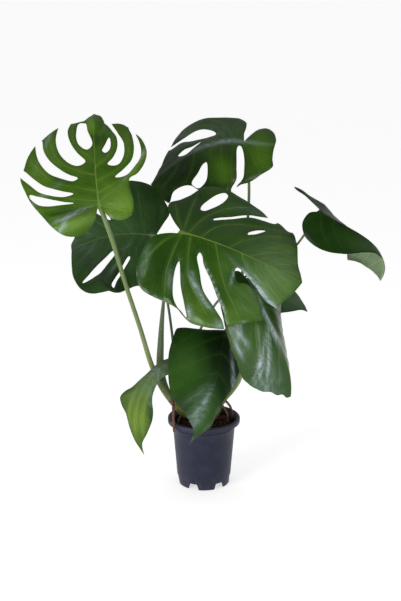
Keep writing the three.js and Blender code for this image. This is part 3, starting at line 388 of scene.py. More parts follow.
def catmull_rom(p, closed=False):
    """A centripetal curve through the points, with its samples evenly spread over each stretch."""
    count = len(p)
    u = np.arange(CURVE_SAMPLES)[:, None] / CURVE_SAMPLES
    parts = []
    for i in range(count if closed else count - 1):
        p1, p2 = p[i], p[(i + 1) % count]
        p0 = p[i - 1] if closed or i > 0 else 2 * p[0] - p[1]
        p3 = p[(i + 2) % count] if closed or i + 2 < count else 2 * p[-1] - p[-2]
        d0, d1, d2 = (np.linalg.norm(b - a) ** 0.5 for a, b in ((p0, p1), (p1, p2), (p2, p3)))
        m1 = d1 * ((p1 - p0) / d0 - (p2 - p0) / (d0 + d1) + (p2 - p1) / d1)
        m2 = d1 * ((p2 - p1) / d1 - (p3 - p1) / (d1 + d2) + (p3 - p2) / d2)
        parts.append((2 * u**3 - 3 * u**2 + 1) * p1 + (u**3 - 2 * u**2 + u) * m1
                     + (3 * u**2 - 2 * u**3) * p2 + (u**3 - u**2) * m2)
    parts.append(p[:1] if closed else p[-1:])
    return np.vstack(parts)


def spaced(curve, step):
    """Points about a step apart along a polyline, its two ends kept."""
    lengths = run_length(curve)
    count = max(2, int(round(lengths[-1] / step)))
    at = np.linspace(0, lengths[-1], count + 1)
    return sample(curve, lengths, at)


def run_length(line):
    """How far along a polyline each of its points lies."""
    return np.r_[0, np.cumsum(np.linalg.norm(np.diff(line, axis=0), axis=1))]


def sample(values, known, at):
    """Rows of values, known at some places, read at others."""
    return np.stack([np.interp(at, known, column) for column in values.T], axis=1)


def ring(radius, z, sides):
    """Points evenly round the pot's middle axis."""
    turns = [2 * pi * k / sides for k in range(sides)]
    return [(radius * cos(turn), radius * sin(turn), z) for turn in turns]


def ring_faces(sides, rings, start=0):
    """The faces between rings of points that follow each other."""
    faces = []
    for low in range(start, start + (rings - 1) * sides, sides):
        high = low + sides
        for k in range(sides):
            after = (k + 1) % sides
            faces.append((low + k, low + after, high + after, high + k))
    return faces


def closed_faces(sides, rings, start=0):
    """The same with both ends closed."""
    last = start + (rings - 1) * sides
    ends = [tuple(range(start, start + sides))[::-1], tuple(range(last, last + sides))]
    return ring_faces(sides, rings, start) + ends


def add_object(name, data):
    obj = bpy.data.objects.new(name, data)
    bpy.context.scene.collection.objects.link(obj)
    return obj


def make_object(name, vertices, faces, smooth=True):
    """A mesh object of vertices in millimetres."""
    mesh = bpy.data.meshes.new(name)
    mesh.from_pydata([Vector(v) * MM for v in vertices], [], faces)
    mesh.validate()
    if smooth:
        mesh.shade_smooth()
    return add_object(name, mesh)


def add_attributes(obj, **fields):
    for name, values in fields.items():
        attribute = obj.data.attributes.new(name, "FLOAT", "POINT")
        attribute.data.foreach_set("value", np.asarray(values, np.float32))


def finish_piece(obj, slot, replaced, *materials):
    for material in materials:
        obj.data.materials.append(material)
    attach(obj, "root")
    if replaced:
        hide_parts(replaced)


# ---- material helpers

def srgb(red, green, blue):
    """A linear colour from the three values of a picture."""
    shares = (value / 255 for value in (red, green, blue))
    return (*(share / 12.92 if share <= 0.04045 else ((share + 0.055) / 1.055) ** 2.4 for share in shares), 1)


def darker(colour, share):
    return (*(share * value for value in colour[:3]), 1)


class Nodes:
    """A node tree, with short calls for the nodes that are used here."""

    def __init__(self, tree):
        self.tree = tree

    def put(self, socket, value):
        if isinstance(value, bpy.types.NodeSocket):
            self.tree.links.new(value, socket)
        else:
            socket.default_value = value

    def node(self, kind, inputs=(), **settings):
        made = self.tree.nodes.new("ShaderNode" + kind)
        for key, value in settings.items():
            setattr(made, key, value)
        for key, value in dict(inputs).items():
            self.put(made.inputs[key], value)
        return made

    def math(self, operation, *values):
        return self.node("Math", enumerate(values), operation=operation).outputs[0]

    def times(self, first, second):
        return self.math("MULTIPLY", first, second)

    def times_plus(self, first, second, third):
        return self.math("MULTIPLY_ADD", first, second, third)

    def ramp(self, *values):
        """A value, its low and high limit, and the results at either, smooth between them."""
        return self.node("MapRange", enumerate(values), interpolation_type="SMOOTHSTEP").outputs[0]

    def step(self, value, low, high):
        """0 at low and 1 at high, smooth between them; high may be the lower one."""
        return self.ramp(value, high, low, 1, 0) if low > high else self.ramp(value, low, high, 0, 1)

    def mix(self, share, first, second, strength=1):
        """The first colour going over to the second; strength scales the share."""
        if strength != 1:
            share = self.times(share, strength)
        return self.node("Mix", {0: share, 6: first, 7: second}, data_type="RGBA").outputs[2]

    def attribute(self, name):
        return self.node("Attribute", attribute_name=name).outputs["Fac"]

    def join(self, *values):
        return self.node("CombineXYZ", enumerate(values)).outputs[0]

    def place(self, scale=(1, 1, 1)):
        """The object's own coordinates in metres, stretched."""
        coordinates = self.node("TexCoord").outputs["Object"]
        return self.node("Mapping", {"Vector": coordinates, "Scale": scale}).outputs[0]

    def noise(self, scale, detail=3, roughness=0.5, vector=None):
        inputs = {"Scale": scale, "Detail": detail, "Roughness": roughness,
                  "Vector": self.place() if vector is None else vector}
        return self.node("TexNoise", inputs).outputs["Fac"]

    def bump(self, height, distance, strength, normal=None):
        inputs = {"Height": height, "Distance": distance, "Strength": strength}
        if normal is not None:
            inputs["Normal"] = normal
        return self.node("Bump", inputs).outputs[0]


class Shader(Nodes):
    """A material and its node tree."""

    def __init__(self, name):
        self.material = bpy.data.materials.new(name)
        self.material.use_nodes = True
        super().__init__(self.material.node_tree)

    def finish(self, **inputs):
        for key, value in inputs.items():
            self.put(self.tree.nodes["Principled BSDF"].inputs[key.replace("_", " ")], value)
        return self.material


# ---- leaf materials

VEIN = srgb(112, 140, 60)
MARGIN_LINE = srgb(118, 140, 76)
# painted sheen: the bluish grey of highlights and of sheen reflected off the leaves
SHEEN_PAINT = srgb(158, 176, 178)
UNDER_VEIN = srgb(140, 160, 114)
UNDER = srgb(112, 134, 99)
YOUNG_UNDER = srgb(118, 138, 80)
FINE_VEINS = 7  # for each side vein

# upper sides: their deep and fresh green, roughness, coat, and how much side veins and midrib show
# the dark and deep looks are darker greens for leaves that lie in shade: partly their own tone, partly
# painted shade
UPPER_SIDES = {
    "fresh": (srgb(47, 81, 8), srgb(93, 128, 42), 0.36, 0.36, 0.4, 0.8),
    "middle": (srgb(34, 68, 8), srgb(80, 116, 38), 0.32, 0.36, 0.42, 0.85),
    "shaded": (srgb(33, 57, 18), srgb(66, 102, 20), 0.36, 0.36, 0.14, 0.2),
    "glossy": (srgb(34, 65, 14), srgb(57, 92, 28), 0.26, 0.36, 0.2, 0.9),
    "dark": (srgb(36, 62, 26), srgb(66, 100, 54), 0.36, 0.36, 0.2, 0.6),
    "deep": (srgb(12, 38, 1), srgb(46, 80, 24), 0.4, 0.08, 0.05, 0.03),
    "young": (srgb(52, 78, 34), srgb(104, 130, 50), 0.55, 0.06, 0.1, 0.3),
}


def vein_distance(m, turns):
    """Millimetres to the nearest of several veins for each side vein."""
    phase = m.times(m.attribute("vein"), turns)
    turn = m.math("SUBTRACT", m.math("FRACT", m.math("ADD", phase, 0.5)), 0.5)
    return m.times(m.math("ABSOLUTE", turn), m.math("DIVIDE", m.attribute("gap"), turns))


def leaf_upper(name, deep, fresh, rough, coat, vein_share, rib_share):
    """The waxy upper side: dark between the veins, a little fresher beside them, with a pale midrib, a pale
    margin, painted shade at the rim and under negative fresh marks, and a painted grey sheen and highlights
    in places."""
    m = Shader(name)
    across = m.math("ABSOLUTE", m.attribute("across"))
    along = m.attribute("along")
    rim = m.attribute("rim")
    fresh_tone_and_painted_shade = m.attribute("fresh")
    side_vein = vein_distance(m, 1)
    fine_vein = vein_distance(m, FINE_VEINS)
    streak = m.noise(5.0, 3, 0.55, m.join(m.attribute("vein"), m.times(across, 0.012)))
    mottle = m.noise(110, 4, 0.6)
    # colour
    colour = m.mix(m.times_plus(m.step(m.noise(14), 0.3, 0.7), 0.3, fresh_tone_and_painted_shade), deep, fresh)
    # painted shade: where the fresh marks are negative, the green goes over to a third of the deep green
    colour = m.mix(fresh_tone_and_painted_shade, colour, darker(deep, 0.3), -1)
    colour = m.mix(m.step(side_vein, 9, 0.5), colour, fresh, 0.08 + 0.35 * vein_share)
    colour = m.mix(m.step(mottle, 0.5, 0.75), colour, deep, 0.18)
    colour = m.mix(m.step(fine_vein, 1.1, 0.2), colour, VEIN, 0.12 * vein_share)
    colour = m.mix(m.times(m.step(side_vein, 1.1, 0.45), m.step(rim, 1, 26)), colour, VEIN, vein_share)
    # painted shade: darker within 6 mm of the margins and cuts, where the edges roll down
    colour = m.mix(m.step(rim, 6, 0), colour, deep, 0.5)
    rib_width = m.times_plus(m.step(along, 0.09, 0), 3, m.times_plus(along, -1.3, 2.2))
    rib = m.step(m.math("DIVIDE", across, rib_width), 1, 0.5)
    colour = m.mix(m.times(rib, m.times_plus(along, -0.5 * rib_share, rib_share)), colour, VEIN)
    colour = m.mix(m.step(rim, 1, 0.4), colour, MARGIN_LINE, 0.15)
    # painted sheen and highlights: a bluish grey, broken into streaks along the veins
    painted_sheen = m.times(m.attribute("painted_sheen"), m.times_plus(m.step(streak, 0.4, 0.6), 0.6, 0.4))
    colour = m.mix(painted_sheen, colour, SHEEN_PAINT)
    # relief
    groove = m.times_plus(m.step(fine_vein, 0.1, 1.6), 0.2, m.step(side_vein, 0.3, 3))
    groove = m.times_plus(m.step(across, 0.5, 4.5), 1.3 * rib_share, groove)
    normal = m.bump(groove, 0.0005, 0.7)
    normal = m.bump(streak, 0.0094 * coat, 0.6, normal)
    normal = m.bump(m.noise(420, 3, 0.6), 0.0002, 0.3, normal)
    return m.finish(Base_Color=colour, Roughness=m.times_plus(mottle, 0.12, rough), Normal=normal,
                    Coat_Weight=coat, Coat_Roughness=0.17, Specular_IOR_Level=0.08,
                    Specular_Tint=(0.82, 0.88, 1, 1))


def leaf_under(name, base):
    """The paler, matter underside, with its veins standing out."""
    m = Shader(name)
    across = m.math("ABSOLUTE", m.attribute("across"))
    side_vein = vein_distance(m, 1)
    colour = m.mix(m.step(m.noise(60, 4, 0.6), 0.3, 0.75), base, darker(base, 0.72))
    colour = m.mix(m.step(side_vein, 2, 0.8), colour, UNDER_VEIN, 0.5)
    colour = m.mix(m.step(across, 3.4, 1.8), colour, UNDER_VEIN, 0.8)
    ridge = m.times_plus(m.noise(300), 0.3, m.step(side_vein, 3, 0.3))
    return m.finish(Base_Color=colour, Roughness=0.5, Normal=m.bump(ridge, 0.0006, 0.8),
                    Specular_IOR_Level=0.4)


# ---- blades

class Blade:
    """The bent surface of a leaf."""

    def __init__(self, leaf):
        self.fold = rows(leaf["fold"])
        self.curl = np.array(leaf["curl"], float)
        self.faces = [face / np.linalg.norm(face) for face in rows(leaf["faces"], 3)]
        a, b, c, d = rows(leaf["midrib"], 3)
        u = np.linspace(0, 1, 801)[:, None]
        self.line = a * (1 - u)**3 + 3 * b * u * (1 - u)**2 + 3 * c * u**2 * (1 - u) + d * u**3
        way = (b - a) * (1 - u)**2 + 2 * (c - b) * u * (1 - u) + (d - c) * u**2
        self.way = way / np.linalg.norm(way, axis=1, keepdims=True)
        self.s = run_length(self.line)
        self.length = self.s[-1]

    def place(self, s, t):
        """The points and upper directions of leaf coordinates."""
        along = np.clip(s / self.length, 0, 1)
        tangent = sample(self.way, self.s, s)
        centre = sample(self.line, self.s, s) + tangent * (s - along * self.length)[:, None]
        up = self.faces[0] * (1 - along)[:, None] + self.faces[1] * along[:, None]
        up = up - tangent * np.sum(up * tangent, axis=1, keepdims=True)
        up /= np.linalg.norm(up, axis=1, keepdims=True)
        outward_way = np.cross(tangent, up)
        half = np.where(t < 0, 0, 1)
        at_stalk, at_tip = self.fold[half].T
        lift = np.radians(at_stalk * (1 - along) + at_tip * along)
        bend = np.radians(self.curl[half] / 100)
        angle = lift + bend * np.abs(t)
        sign = 2 * half - 1
        outward = sign * (np.sin(angle) - np.sin(lift)) / bend
        upward = (np.cos(lift) - np.cos(angle)) / bend
        point = centre + outward_way * outward[:, None] + up * upward[:, None]
        normal = up * np.cos(angle)[:, None] - outward_way * (sign * np.sin(angle))[:, None]
        return point, normal


def inside(points, loop):
    """Which points lie inside a closed loop, by counting crossings."""
    x, y = points[:, 0][:, None], points[:, 1][:, None]
    x1, y1 = loop.T
    x2, y2 = np.roll(x1, -1), np.roll(y1, -1)
    rises = (y1 > y) != (y2 > y)
    with np.errstate(divide="ignore", invalid="ignore"):
        crossing = x < (x2 - x1) * (y - y1) / (y2 - y1) + x1
    return np.sum(rises & crossing, axis=1) % 2 == 1


def nearest(points, others):
    """Each point's distance to the nearest of the others."""
    chunks = np.array_split(points, max(1, len(points) // 500))
    return np.concatenate([np.sqrt(((chunk[:, None] - others)**2).sum(2)).min(1) for chunk in chunks])


RIB_ROWS = (-5.0, -2.2, 0.0, 2.2, 5.0)  # t of the rows of points along the midrib
ROW_STEP = NET_STEP * 0.866  # between the rows of an even net of triangles
RIB_STEP = NET_STEP * 0.8
RIB_GAP = NET_STEP * 0.4
BORDER_GAP = MARGIN_STEP * 0.62
WELD = 0.0001
ON_RIB = 0.01


def outline(numbers, closed=False):
    """Points along a margin, without the last, which the next stretch brings."""
    return spaced(catmull_rom(rows(numbers), closed), MARGIN_STEP)[:-1]


def inner_points(margin, border):
    """The points of the net inside the margin, with rows of their own along the midrib."""
    low, high = margin.min(0), margin.max(0)
    grid = [(s + NET_STEP / 2 * (i % 2), t) for i, t in enumerate(np.arange(low[1], high[1], ROW_STEP))
            for s in np.arange(low[0], high[0], NET_STEP)]
    grid = [(s, t) for s, t in grid if abs(t) > RIB_ROWS[-1] + RIB_GAP]
    rib = [(s, t) for t in RIB_ROWS for s in np.arange(low[0], high[0], RIB_STEP)]
    points = np.array(grid + rib)
    points = points[inside(points, margin)]
    return points[nearest(points, border) > BORDER_GAP]


def flat_net(leaf):
    """The flat outline with its cuts taken out, as points and triangles."""
    margin = np.vstack([outline(leaf["left"]), outline(leaf["right"])])
    cuts = [outline(cut, True) for cut in leaf.get("cuts", ())]
    border = np.vstack([margin, *cuts])
    points = np.vstack([border, inner_points(margin, border)])
    edges = []
    for loop in (margin, *cuts):
        start = len(edges)
        edges += [(start + i, start + (i + 1) % len(loop)) for i in range(len(loop))]
    made = delaunay_2d_cdt([Vector(p) for p in points], edges, [], 0, WELD)
    flat = np.array([tuple(v) for v in made[0]])
    triangles = np.array(made[2])
    middles = flat[triangles].mean(1)
    kept = inside(middles, margin)
    for cut in cuts:
        kept &= ~inside(middles, cut)
    used, numbers = np.unique(triangles[kept], return_inverse=True)
    return flat[used], numbers.reshape(-1, 3)


PLAIN_VEINS = (0.0, 0.13, 0.27, 0.42, 0.58, 0.74)  # where they leave the midrib, as shares of its length
BASE_VEIN = rows((0, 0, -0.14, 0.3, -0.32, 0.75))  # the first, beside the stalk, in shares of a half's width
SIDE_VEIN = rows((0, 0, 0.22, 0.42, 0.75, 0.95))  # the others
VEIN_TAPER = 0.55  # how much shorter they are towards the tip
LONE_GAP = (24, 0.4)  # spacing outside the first and the last vein, and its growth with the distance


def plain_veins(leaf, length, side):
    """Evenly spread veins for a half without cuts, from the stalk's end to the tip."""
    reach = np.abs(rows(leaf[side])[:, 1]).max()
    veins = [SIDE_VEIN * reach * (1 - VEIN_TAPER * share) + (share * length, 0) for share in PLAIN_VEINS]
    return [BASE_VEIN * reach] + veins


def polyline_distance(points, line):
    """Distances to a polyline, and on which side of it each point lies: 1 towards the leaf's tip, else -1."""
    start, step = line[:-1], np.diff(line, axis=0)
    gap = points[:, None] - start
    share = np.clip((gap * step).sum(2) / (step**2).sum(1), 0, 1)
    off = gap - share[..., None] * step
    distance = np.sqrt((off**2).sum(2))
    best = distance.argmin(1)
    row = np.arange(len(points))
    chosen, way = off[row, best], step[best]
    side = np.sign(way[:, 1] * chosen[:, 0] - way[:, 0] * chosen[:, 1])
    return distance[row, best], side


def half_veins(points, veins):
    """For one half: a number that is whole on each vein and even between them, and the veins' spacing."""
    curves = [catmull_rom(np.c_[vein[:, 0], np.abs(vein[:, 1])]) for vein in map(rows, veins)]
    lines = [spaced(curve, VEIN_STEP) for curve in curves]
    distance, side = np.array([polyline_distance(points, line) for line in lines]).swapaxes(0, 1)
    row = np.arange(len(points))
    near = distance.argmin(0)
    off = distance[near, row]
    way = side[near, row]
    other = near + way.astype(int)
    lone = (other < 0) | (other >= len(veins))
    between = distance[np.clip(other, 0, len(veins) - 1), row]
    gap = off + np.where(lone, LONE_GAP[0] + LONE_GAP[1] * off, between)
    gap = np.maximum(gap, 2 * off)
    return near + way * off / gap, gap


def vein_field(leaf, s, t, length):
    phase, gap = np.zeros(len(s)), np.ones(len(s))
    for side, chosen in (("left", t < 0), ("right", t >= 0)):
        veins = leaf.get(side + "_veins") or plain_veins(leaf, length, side)
        phase[chosen], gap[chosen] = half_veins(np.c_[s[chosen], np.abs(t[chosen])], veins)
    return phase, gap


def border_edges(triangles):
    """The directed edges that only one triangle has."""
    pairs = np.vstack([triangles[:, [0, 1]], triangles[:, [1, 2]], triangles[:, [2, 0]]])
    known = set(map(tuple, pairs))
    return [(a, b) for a, b in pairs if (b, a) not in known]


def spots(s, t, marks):
    """The sum of soft ovals: s, t, heading in degrees from the midrib, half length, half width, value."""
    total = np.zeros(len(s))
    for a, b, heading, long, wide, value in marks:
        turn = radians(heading)
        ahead = (s - a) * cos(turn) + (t - b) * sin(turn)
        aside = (t - b) * cos(turn) - (s - a) * sin(turn)
        total += value * np.exp(-(ahead / long)**2 - (aside / wide)**2)
    return total


SLOW_WAVE = (75, 3.4)  # length and height
EDGE_WAVE = (30, 2.2)
FULL_SWELL = 45  # spacing of the side veins at which the blade swells in full
EDGE_REACH = 24
ROLL_REACH = 12


def noise_field(s, t, size, seed):
    return np.array([noise.noise(Vector((a / size, b / size, seed))) for a, b in zip(s, t)])


def waves(s, t, phase, gap, rim, leaf):
    """How far the blade stands off its smooth surface: swellings between the side veins, a rolled edge, slow
    waves, and single bulges."""
    seed = leaf["seed"]
    reach = np.abs(t)
    swell = 0.5 - 0.5 * np.cos(2 * pi * phase)
    swell = swell * smoothstep(3, 30, reach) * np.clip(gap / FULL_SWELL, 0.2, 1.2) * leaf["swell"]
    slow = noise_field(s, t, SLOW_WAVE[0], seed) * SLOW_WAVE[1]
    edge = noise_field(s, t, EDGE_WAVE[0], seed + 9) * (1 - smoothstep(0, EDGE_REACH, rim)) * EDGE_WAVE[1]
    roll = leaf["roll"] * np.clip(1 - rim / ROLL_REACH, 0, 1)**2
    height = swell + slow * smoothstep(6, 50, reach) + (edge - roll) * smoothstep(8, 26, reach)
    return height + spots(s, t, leaf.get("bulges", ()))


def set_materials_and_creases(obj, t, triangles, edges):
    """The upper side has the first material, and the rim and the midrib are sharp edges."""
    numbers = np.ones(len(obj.data.polygons), np.int32)
    numbers[:len(triangles)] = 0
    obj.data.polygons.foreach_set("material_index", numbers)
    rim = set(tuple(sorted(edge)) for edge in edges)
    rim |= set((len(t) + a, len(t) + b) for a, b in rim)
    on_rib = np.abs(np.r_[t, t]) < ON_RIB
    ends = [tuple(sorted(edge.vertices)) for edge in obj.data.edges]
    sharp = obj.data.attributes.new("sharp_edge", "BOOLEAN", "EDGE")
    sharp.data.foreach_set("value", [pair in rim or bool(on_rib[list(pair)].all()) for pair in ends])


RIB_HEIGHT = 2.2  # how far the midrib stands out below the blade
RIB_WIDTH = 2.4  # from its middle
RIB_START = 14  # from the stalk to its full height
THIN_RIM = 3  # how far from its rim a blade has its full thickness


def make_blade(name, leaf, upper, under):
    """Two layers of the net, one for each side, that close round the margin and the cuts."""
    surface = Blade(leaf)
    flat, triangles = flat_net(leaf)
    s, t = flat.T
    edges = border_edges(triangles)
    rim = nearest(flat, flat[sorted(set(a for a, b in edges))])
    phase, gap = vein_field(leaf, s, t, surface.length)
    point, normal = surface.place(s, t)
    point = point + normal * waves(s, t, phase, gap, rim, leaf)[:, None]
    along = np.clip(s / surface.length, 0, 1)
    rib = RIB_HEIGHT * np.exp(-(t / RIB_WIDTH)**2) * smoothstep(0, RIB_START, s) * (1 - along)
    half = BLADE / 2 * smoothstep(-2, THIN_RIM, rim)
    top = point + normal * half[:, None]
    bottom = point - normal * (half + rib)[:, None]
    count = len(flat)
    faces = [(a, c, b) for a, b, c in triangles]
    faces += [(count + a, count + b, count + c) for a, b, c in triangles]
    faces += [(a, b, count + b, count + a) for a, b in edges]
    obj = make_object(name + "_blade", np.vstack([top, bottom]), faces)
    fields = {"across": t, "along": along, "vein": phase, "gap": gap, "rim": rim}
    # the fresh marks, which paint shade where negative, and the marks of painted sheen
    for key in ("fresh", "painted_sheen"):
        fields[key] = spots(s, t, leaf.get(key, ()))
    add_attributes(obj, **{key: np.r_[values, values] for key, values in fields.items()})
    finish_piece(obj, leaf["slot"], name, upper, under)
    set_materials_and_creases(obj, t, triangles, edges)


def make_leaves():
    under = leaf_under("leaf_underside", UNDER)
    young_under = leaf_under("leaf_young_underside", YOUNG_UNDER)
    uppers = {look: leaf_upper("leaf_" + look, *numbers) for look, numbers in UPPER_SIDES.items()}
    for name, leaf in LEAVES.items():
        look = leaf["look"]
        make_blade(name, leaf, uppers[look], young_under if look == "young" else under)


# ---- stalks and roots

STALK_SPECK = srgb(196, 205, 150)
STALK_PALE = (srgb(122, 134, 76), srgb(98, 120, 60), srgb(70, 96, 44))  # at the sheath, above it, and streaks
STALK_DARK = (srgb(96, 112, 66), srgb(66, 88, 44), srgb(46, 68, 34))
# the section of a stalk: heights in shares of its radius, offset and widths in radians round it
CHANNEL = (-0.34, 0.5)
GROOVE = (-0.1, 0.45)
WINGS = (0.2, 0.28)
WING_OFFSET = 0.85
SHEATH_FADE = (-0.12, 0.02)  # round the sheath's end, in shares of the stalk's length
KNUCKLE = 0.16
KNUCKLE_REACH = (26, 12)  # from the stalk's end to where it starts and to where it is full
# rings where leaves once stood: height and step; lumps: height, length and reach in the noise
STEM_RINGS = (0.05, 14)
STEM_LUMPS = (0.07, 12, 1.3)
ROOT_LUMPS = (0.22, 7, 1)
# the last points of a stalk: s under the midrib, and its radius and depth as shares of the stalk's own radius
KNEE = ((6, 0.8, 0.7), (16, 0.4, 0.2))


def tube(name, points, sides, step, shape):
    """A closed tube along points of x, y, z and radius. shape scales the radius, by the share of the length,
    the turn round it and the distance along it."""
    line = catmull_rom(points[:, :3])
    radii = np.interp(np.arange(len(line)) / CURVE_SAMPLES, np.arange(len(points)), points[:, 3])
    centre, radius = np.split(spaced(np.c_[line, radii], step), [3], axis=1)
    way = np.gradient(centre, axis=0)
    way /= np.linalg.norm(way, axis=1, keepdims=True)
    lengths = run_length(centre)
    share = lengths / lengths[-1]
    first = np.cross(way[0], (0, 1, 0))
    turns = np.arange(sides) / sides * 2 * pi
    vertices = []
    for i, ahead in enumerate(way):
        first = first - ahead * np.dot(first, ahead)
        first /= np.linalg.norm(first)
        second = np.cross(ahead, first)
        for turn in turns:
            reach = radius[i] * shape(share[i], turn, lengths[i])
            vertices.append(centre[i] + reach * (first * cos(turn) + second * sin(turn)))
    obj = make_object(name, vertices, closed_faces(sides, len(centre)))
    add_attributes(obj, along=np.repeat(share, sides), around=np.tile(np.cos(turns), len(centre)),
                   distance=np.repeat(lengths, sides))
    return obj


def stalk_shape(sheath, length):
    """A leaf stalk: a channel with two thin wings along its sheath, and a knuckle under the blade."""
    def bell(offset, height, width):
        return height * exp(-(offset / width)**2)

    def shape(share, turn, distance):
        fade = 1 - smoothstep(sheath + SHEATH_FADE[0], sheath + SHEATH_FADE[1], share)
        offset = (turn - pi / 2) % (2 * pi) - pi
        wings = bell(offset - WING_OFFSET, *WINGS) + bell(offset + WING_OFFSET, *WINGS)
        start, full = (1 - reach / length for reach in KNUCKLE_REACH)
        knuckle = KNUCKLE * smoothstep(start, full, share)
        return 1 + fade * (bell(offset, *CHANNEL) + wings) + (1 - fade) * bell(offset, *GROOVE) + knuckle
    return shape


def lump(turn, distance, height, size, reach):
    return height * noise.noise(Vector((cos(turn) * reach, sin(turn) * reach, distance / size)))


def stem_shape(share, turn, distance):
    """The main stem: rings where leaves once stood, and a little unevenness."""
    height, step = STEM_RINGS
    ridge = 0.5 + 0.5 * cos(distance / step * 2 * pi)
    return 1 + height * ridge**6 + lump(turn, distance, *STEM_LUMPS)


def root_shape(share, turn, distance):
    return 1 + lump(turn, distance, *ROOT_LUMPS)


def stalk_material(name, base, tip, streak):
    """Green, paler and yellower at the sheath, with streaks along it."""
    m = Shader(name)
    along = m.attribute("along")
    around = m.times(m.attribute("around"), 2.6)
    distance = m.times(m.attribute("distance"), 0.014)
    lines = m.noise(3, 4, 0.6, m.join(around, distance, m.times(along, 2)))
    specks = m.noise(700, 2)
    colour = m.mix(m.step(along, 0.02, 0.55), base, tip)
    colour = m.mix(m.step(lines, 0.42, 0.68), colour, streak, 0.5)
    colour = m.mix(m.step(specks, 0.62, 0.7), colour, STALK_SPECK, 0.3)
    normal = m.bump(specks, 0.0002, 0.5, m.bump(lines, 0.0008, 0.5))
    return m.finish(Base_Color=colour, Roughness=0.34, Normal=normal, Coat_Weight=0.2, Coat_Roughness=0.25)


def stem_material():
    m = Shader("main_stem")
    mottle = m.noise(120, 5, 0.65)
    colour = m.mix(m.step(mottle, 0.35, 0.7), srgb(126, 138, 62), srgb(92, 84, 46))
    colour = m.mix(m.step(m.noise(45), 0.5, 0.75), colour, srgb(98, 70, 48))
    return m.finish(Base_Color=colour, Roughness=0.6, Normal=m.bump(mottle, 0.001, 0.7))


def root_material():
    m = Shader("aerial_root")
    bark = m.noise(260, 5, 0.7, m.place((1, 1, 0.35)))
    colour = m.mix(m.step(bark, 0.35, 0.7), srgb(124, 84, 70), srgb(70, 46, 40))
    return m.finish(Base_Color=colour, Roughness=0.75, Normal=m.bump(bark, 0.0012, 0.9))


def knee(leaf, radius):
    """The last points of a stalk, where it bends and thins into the underside of its blade's midrib."""
    s, thin, deep = np.array(KNEE).T
    point, normal = Blade(leaf).place(s, np.zeros(len(s)))
    return np.c_[point - normal * (BLADE / 2 + deep * radius)[:, None], thin * radius]


def make_stalks():
    materials = {"pale": stalk_material("stalk_pale", *STALK_PALE),
                 "dark": stalk_material("stalk_dark", *STALK_DARK)}
    bark = stem_material()
    for clump, parts in CLUMPS.items():
        stem = tube(clump + "_0", rows(parts["stem"], 4), STEM_SIDES, STEM_STEP, stem_shape)
        finish_piece(stem, "stalk", clump, bark)
        for index, (leaf, tone, sheath, limb) in enumerate(parts["stalks"], 1):
            points = rows(limb, 4)
            points = np.vstack([points, knee(LEAVES[leaf], points[-1, 3])])
            shape = stalk_shape(sheath, run_length(points[:, :3])[-1])
            stalk = tube(f"{clump}_{index}", points, STALK_SIDES, STALK_STEP, shape)
            finish_piece(stalk, "stalk", clump, materials[tone])


def make_roots():
    bark = root_material()
    for name, limb in ROOTS.items():
        root = tube(name + "_bark", rows(limb, 4), ROOT_SIDES, ROOT_STEP, root_shape)
        finish_piece(root, "root", name, bark)


# ---- soil

SOIL_LUMPS = ((26, 3.1, 3.4), (9, 7.7, 2.2), (3.6, 1.3, 1.1))  # their size, place in the noise, and height
FIBRES = 150
FIBRE_SEED = 11
FIBRE_STEPS = 6
FIBRE_SIDES = 5
FIBRE_MARGIN = 12  # from its middle to the pot's wall
FIBRE_GAP = 2.5  # from its ends to the pot's wall
FIBRE_LENGTH = (7, 22)
FIBRE_RADIUS = (0.25, 0.6)
FIBRE_BEND = (-1.4, 1.4)
FIBRE_RISE = (0.3, 3.5)
CHIPS = 220
CHIP_SEED = 23
CHIP_MARGIN = 8
CHIP_SIZE = (1.0, 3.4)
CHIP_SHARES = ((0.75, 1.2), (0.6, 0.9), (0.35, 0.8))  # of its size, for its points, its width and its height
UP = Vector((0, 0, 1))


def wall_radius(z):
    share = (z - SHOULDER_HEIGHT) / (UNDER_LIP - SHOULDER_HEIGHT)
    return SHOULDER_RADIUS + share * (WALL_TOP_RADIUS - SHOULDER_RADIUS)


def inner_radius(z, gap):
    return wall_radius(z) - WALL - gap


def soil_height(x, y):
    """The top of the soil: lumps of several sizes."""
    return SOIL_TOP + sum(noise.noise(Vector((x / size, y / size, place))) * height
                          for size, place, height in SOIL_LUMPS)


def make_soil():
    """The whole body of the soil, ring by ring from the middle of its lumpy top out and down."""
    radii = np.linspace(0, inner_radius(UNDER_LIP, SOIL_GAP), SOIL_RINGS)[1:]
    top = [(0, 0, 0)] + [point for radius in radii for point in ring(radius, 0, SOIL_SIDES)]
    vertices = [(x, y, soil_height(x, y)) for x, y, _ in top]
    bottom = FLOOR_TOP + SOIL_GAP
    vertices += ring(inner_radius(bottom + 6, SOIL_GAP), bottom + 6, SOIL_SIDES)
    vertices += ring(FOOT_RADIUS - WALL - 1.6, bottom, SOIL_SIDES)
    faces = [(0, 1 + k, 1 + (k + 1) % SOIL_SIDES) for k in range(SOIL_SIDES)]
    faces += [(a, d, c, b) for a, b, c, d in ring_faces(SOIL_SIDES, len(radii) + 2, 1)]
    faces.append(tuple(range(len(vertices) - SOIL_SIDES, len(vertices)))[::-1])
    finish_piece(make_object("soil_body", vertices, faces), "soil", "soil", soil_material())


def soil_material():
    m = Shader("peat")
    grain = m.noise(520, 6, 0.7)
    colour = m.mix(m.step(grain, 0.4, 0.72), srgb(9, 6, 6), srgb(26, 16, 14))
    colour = m.mix(m.step(m.noise(95, 4, 0.6), 0.55, 0.72), colour, srgb(10, 7, 7))
    return m.finish(Base_Color=colour, Roughness=0.95, Normal=m.bump(grain, 0.002, 1),
                    Specular_IOR_Level=0.2)


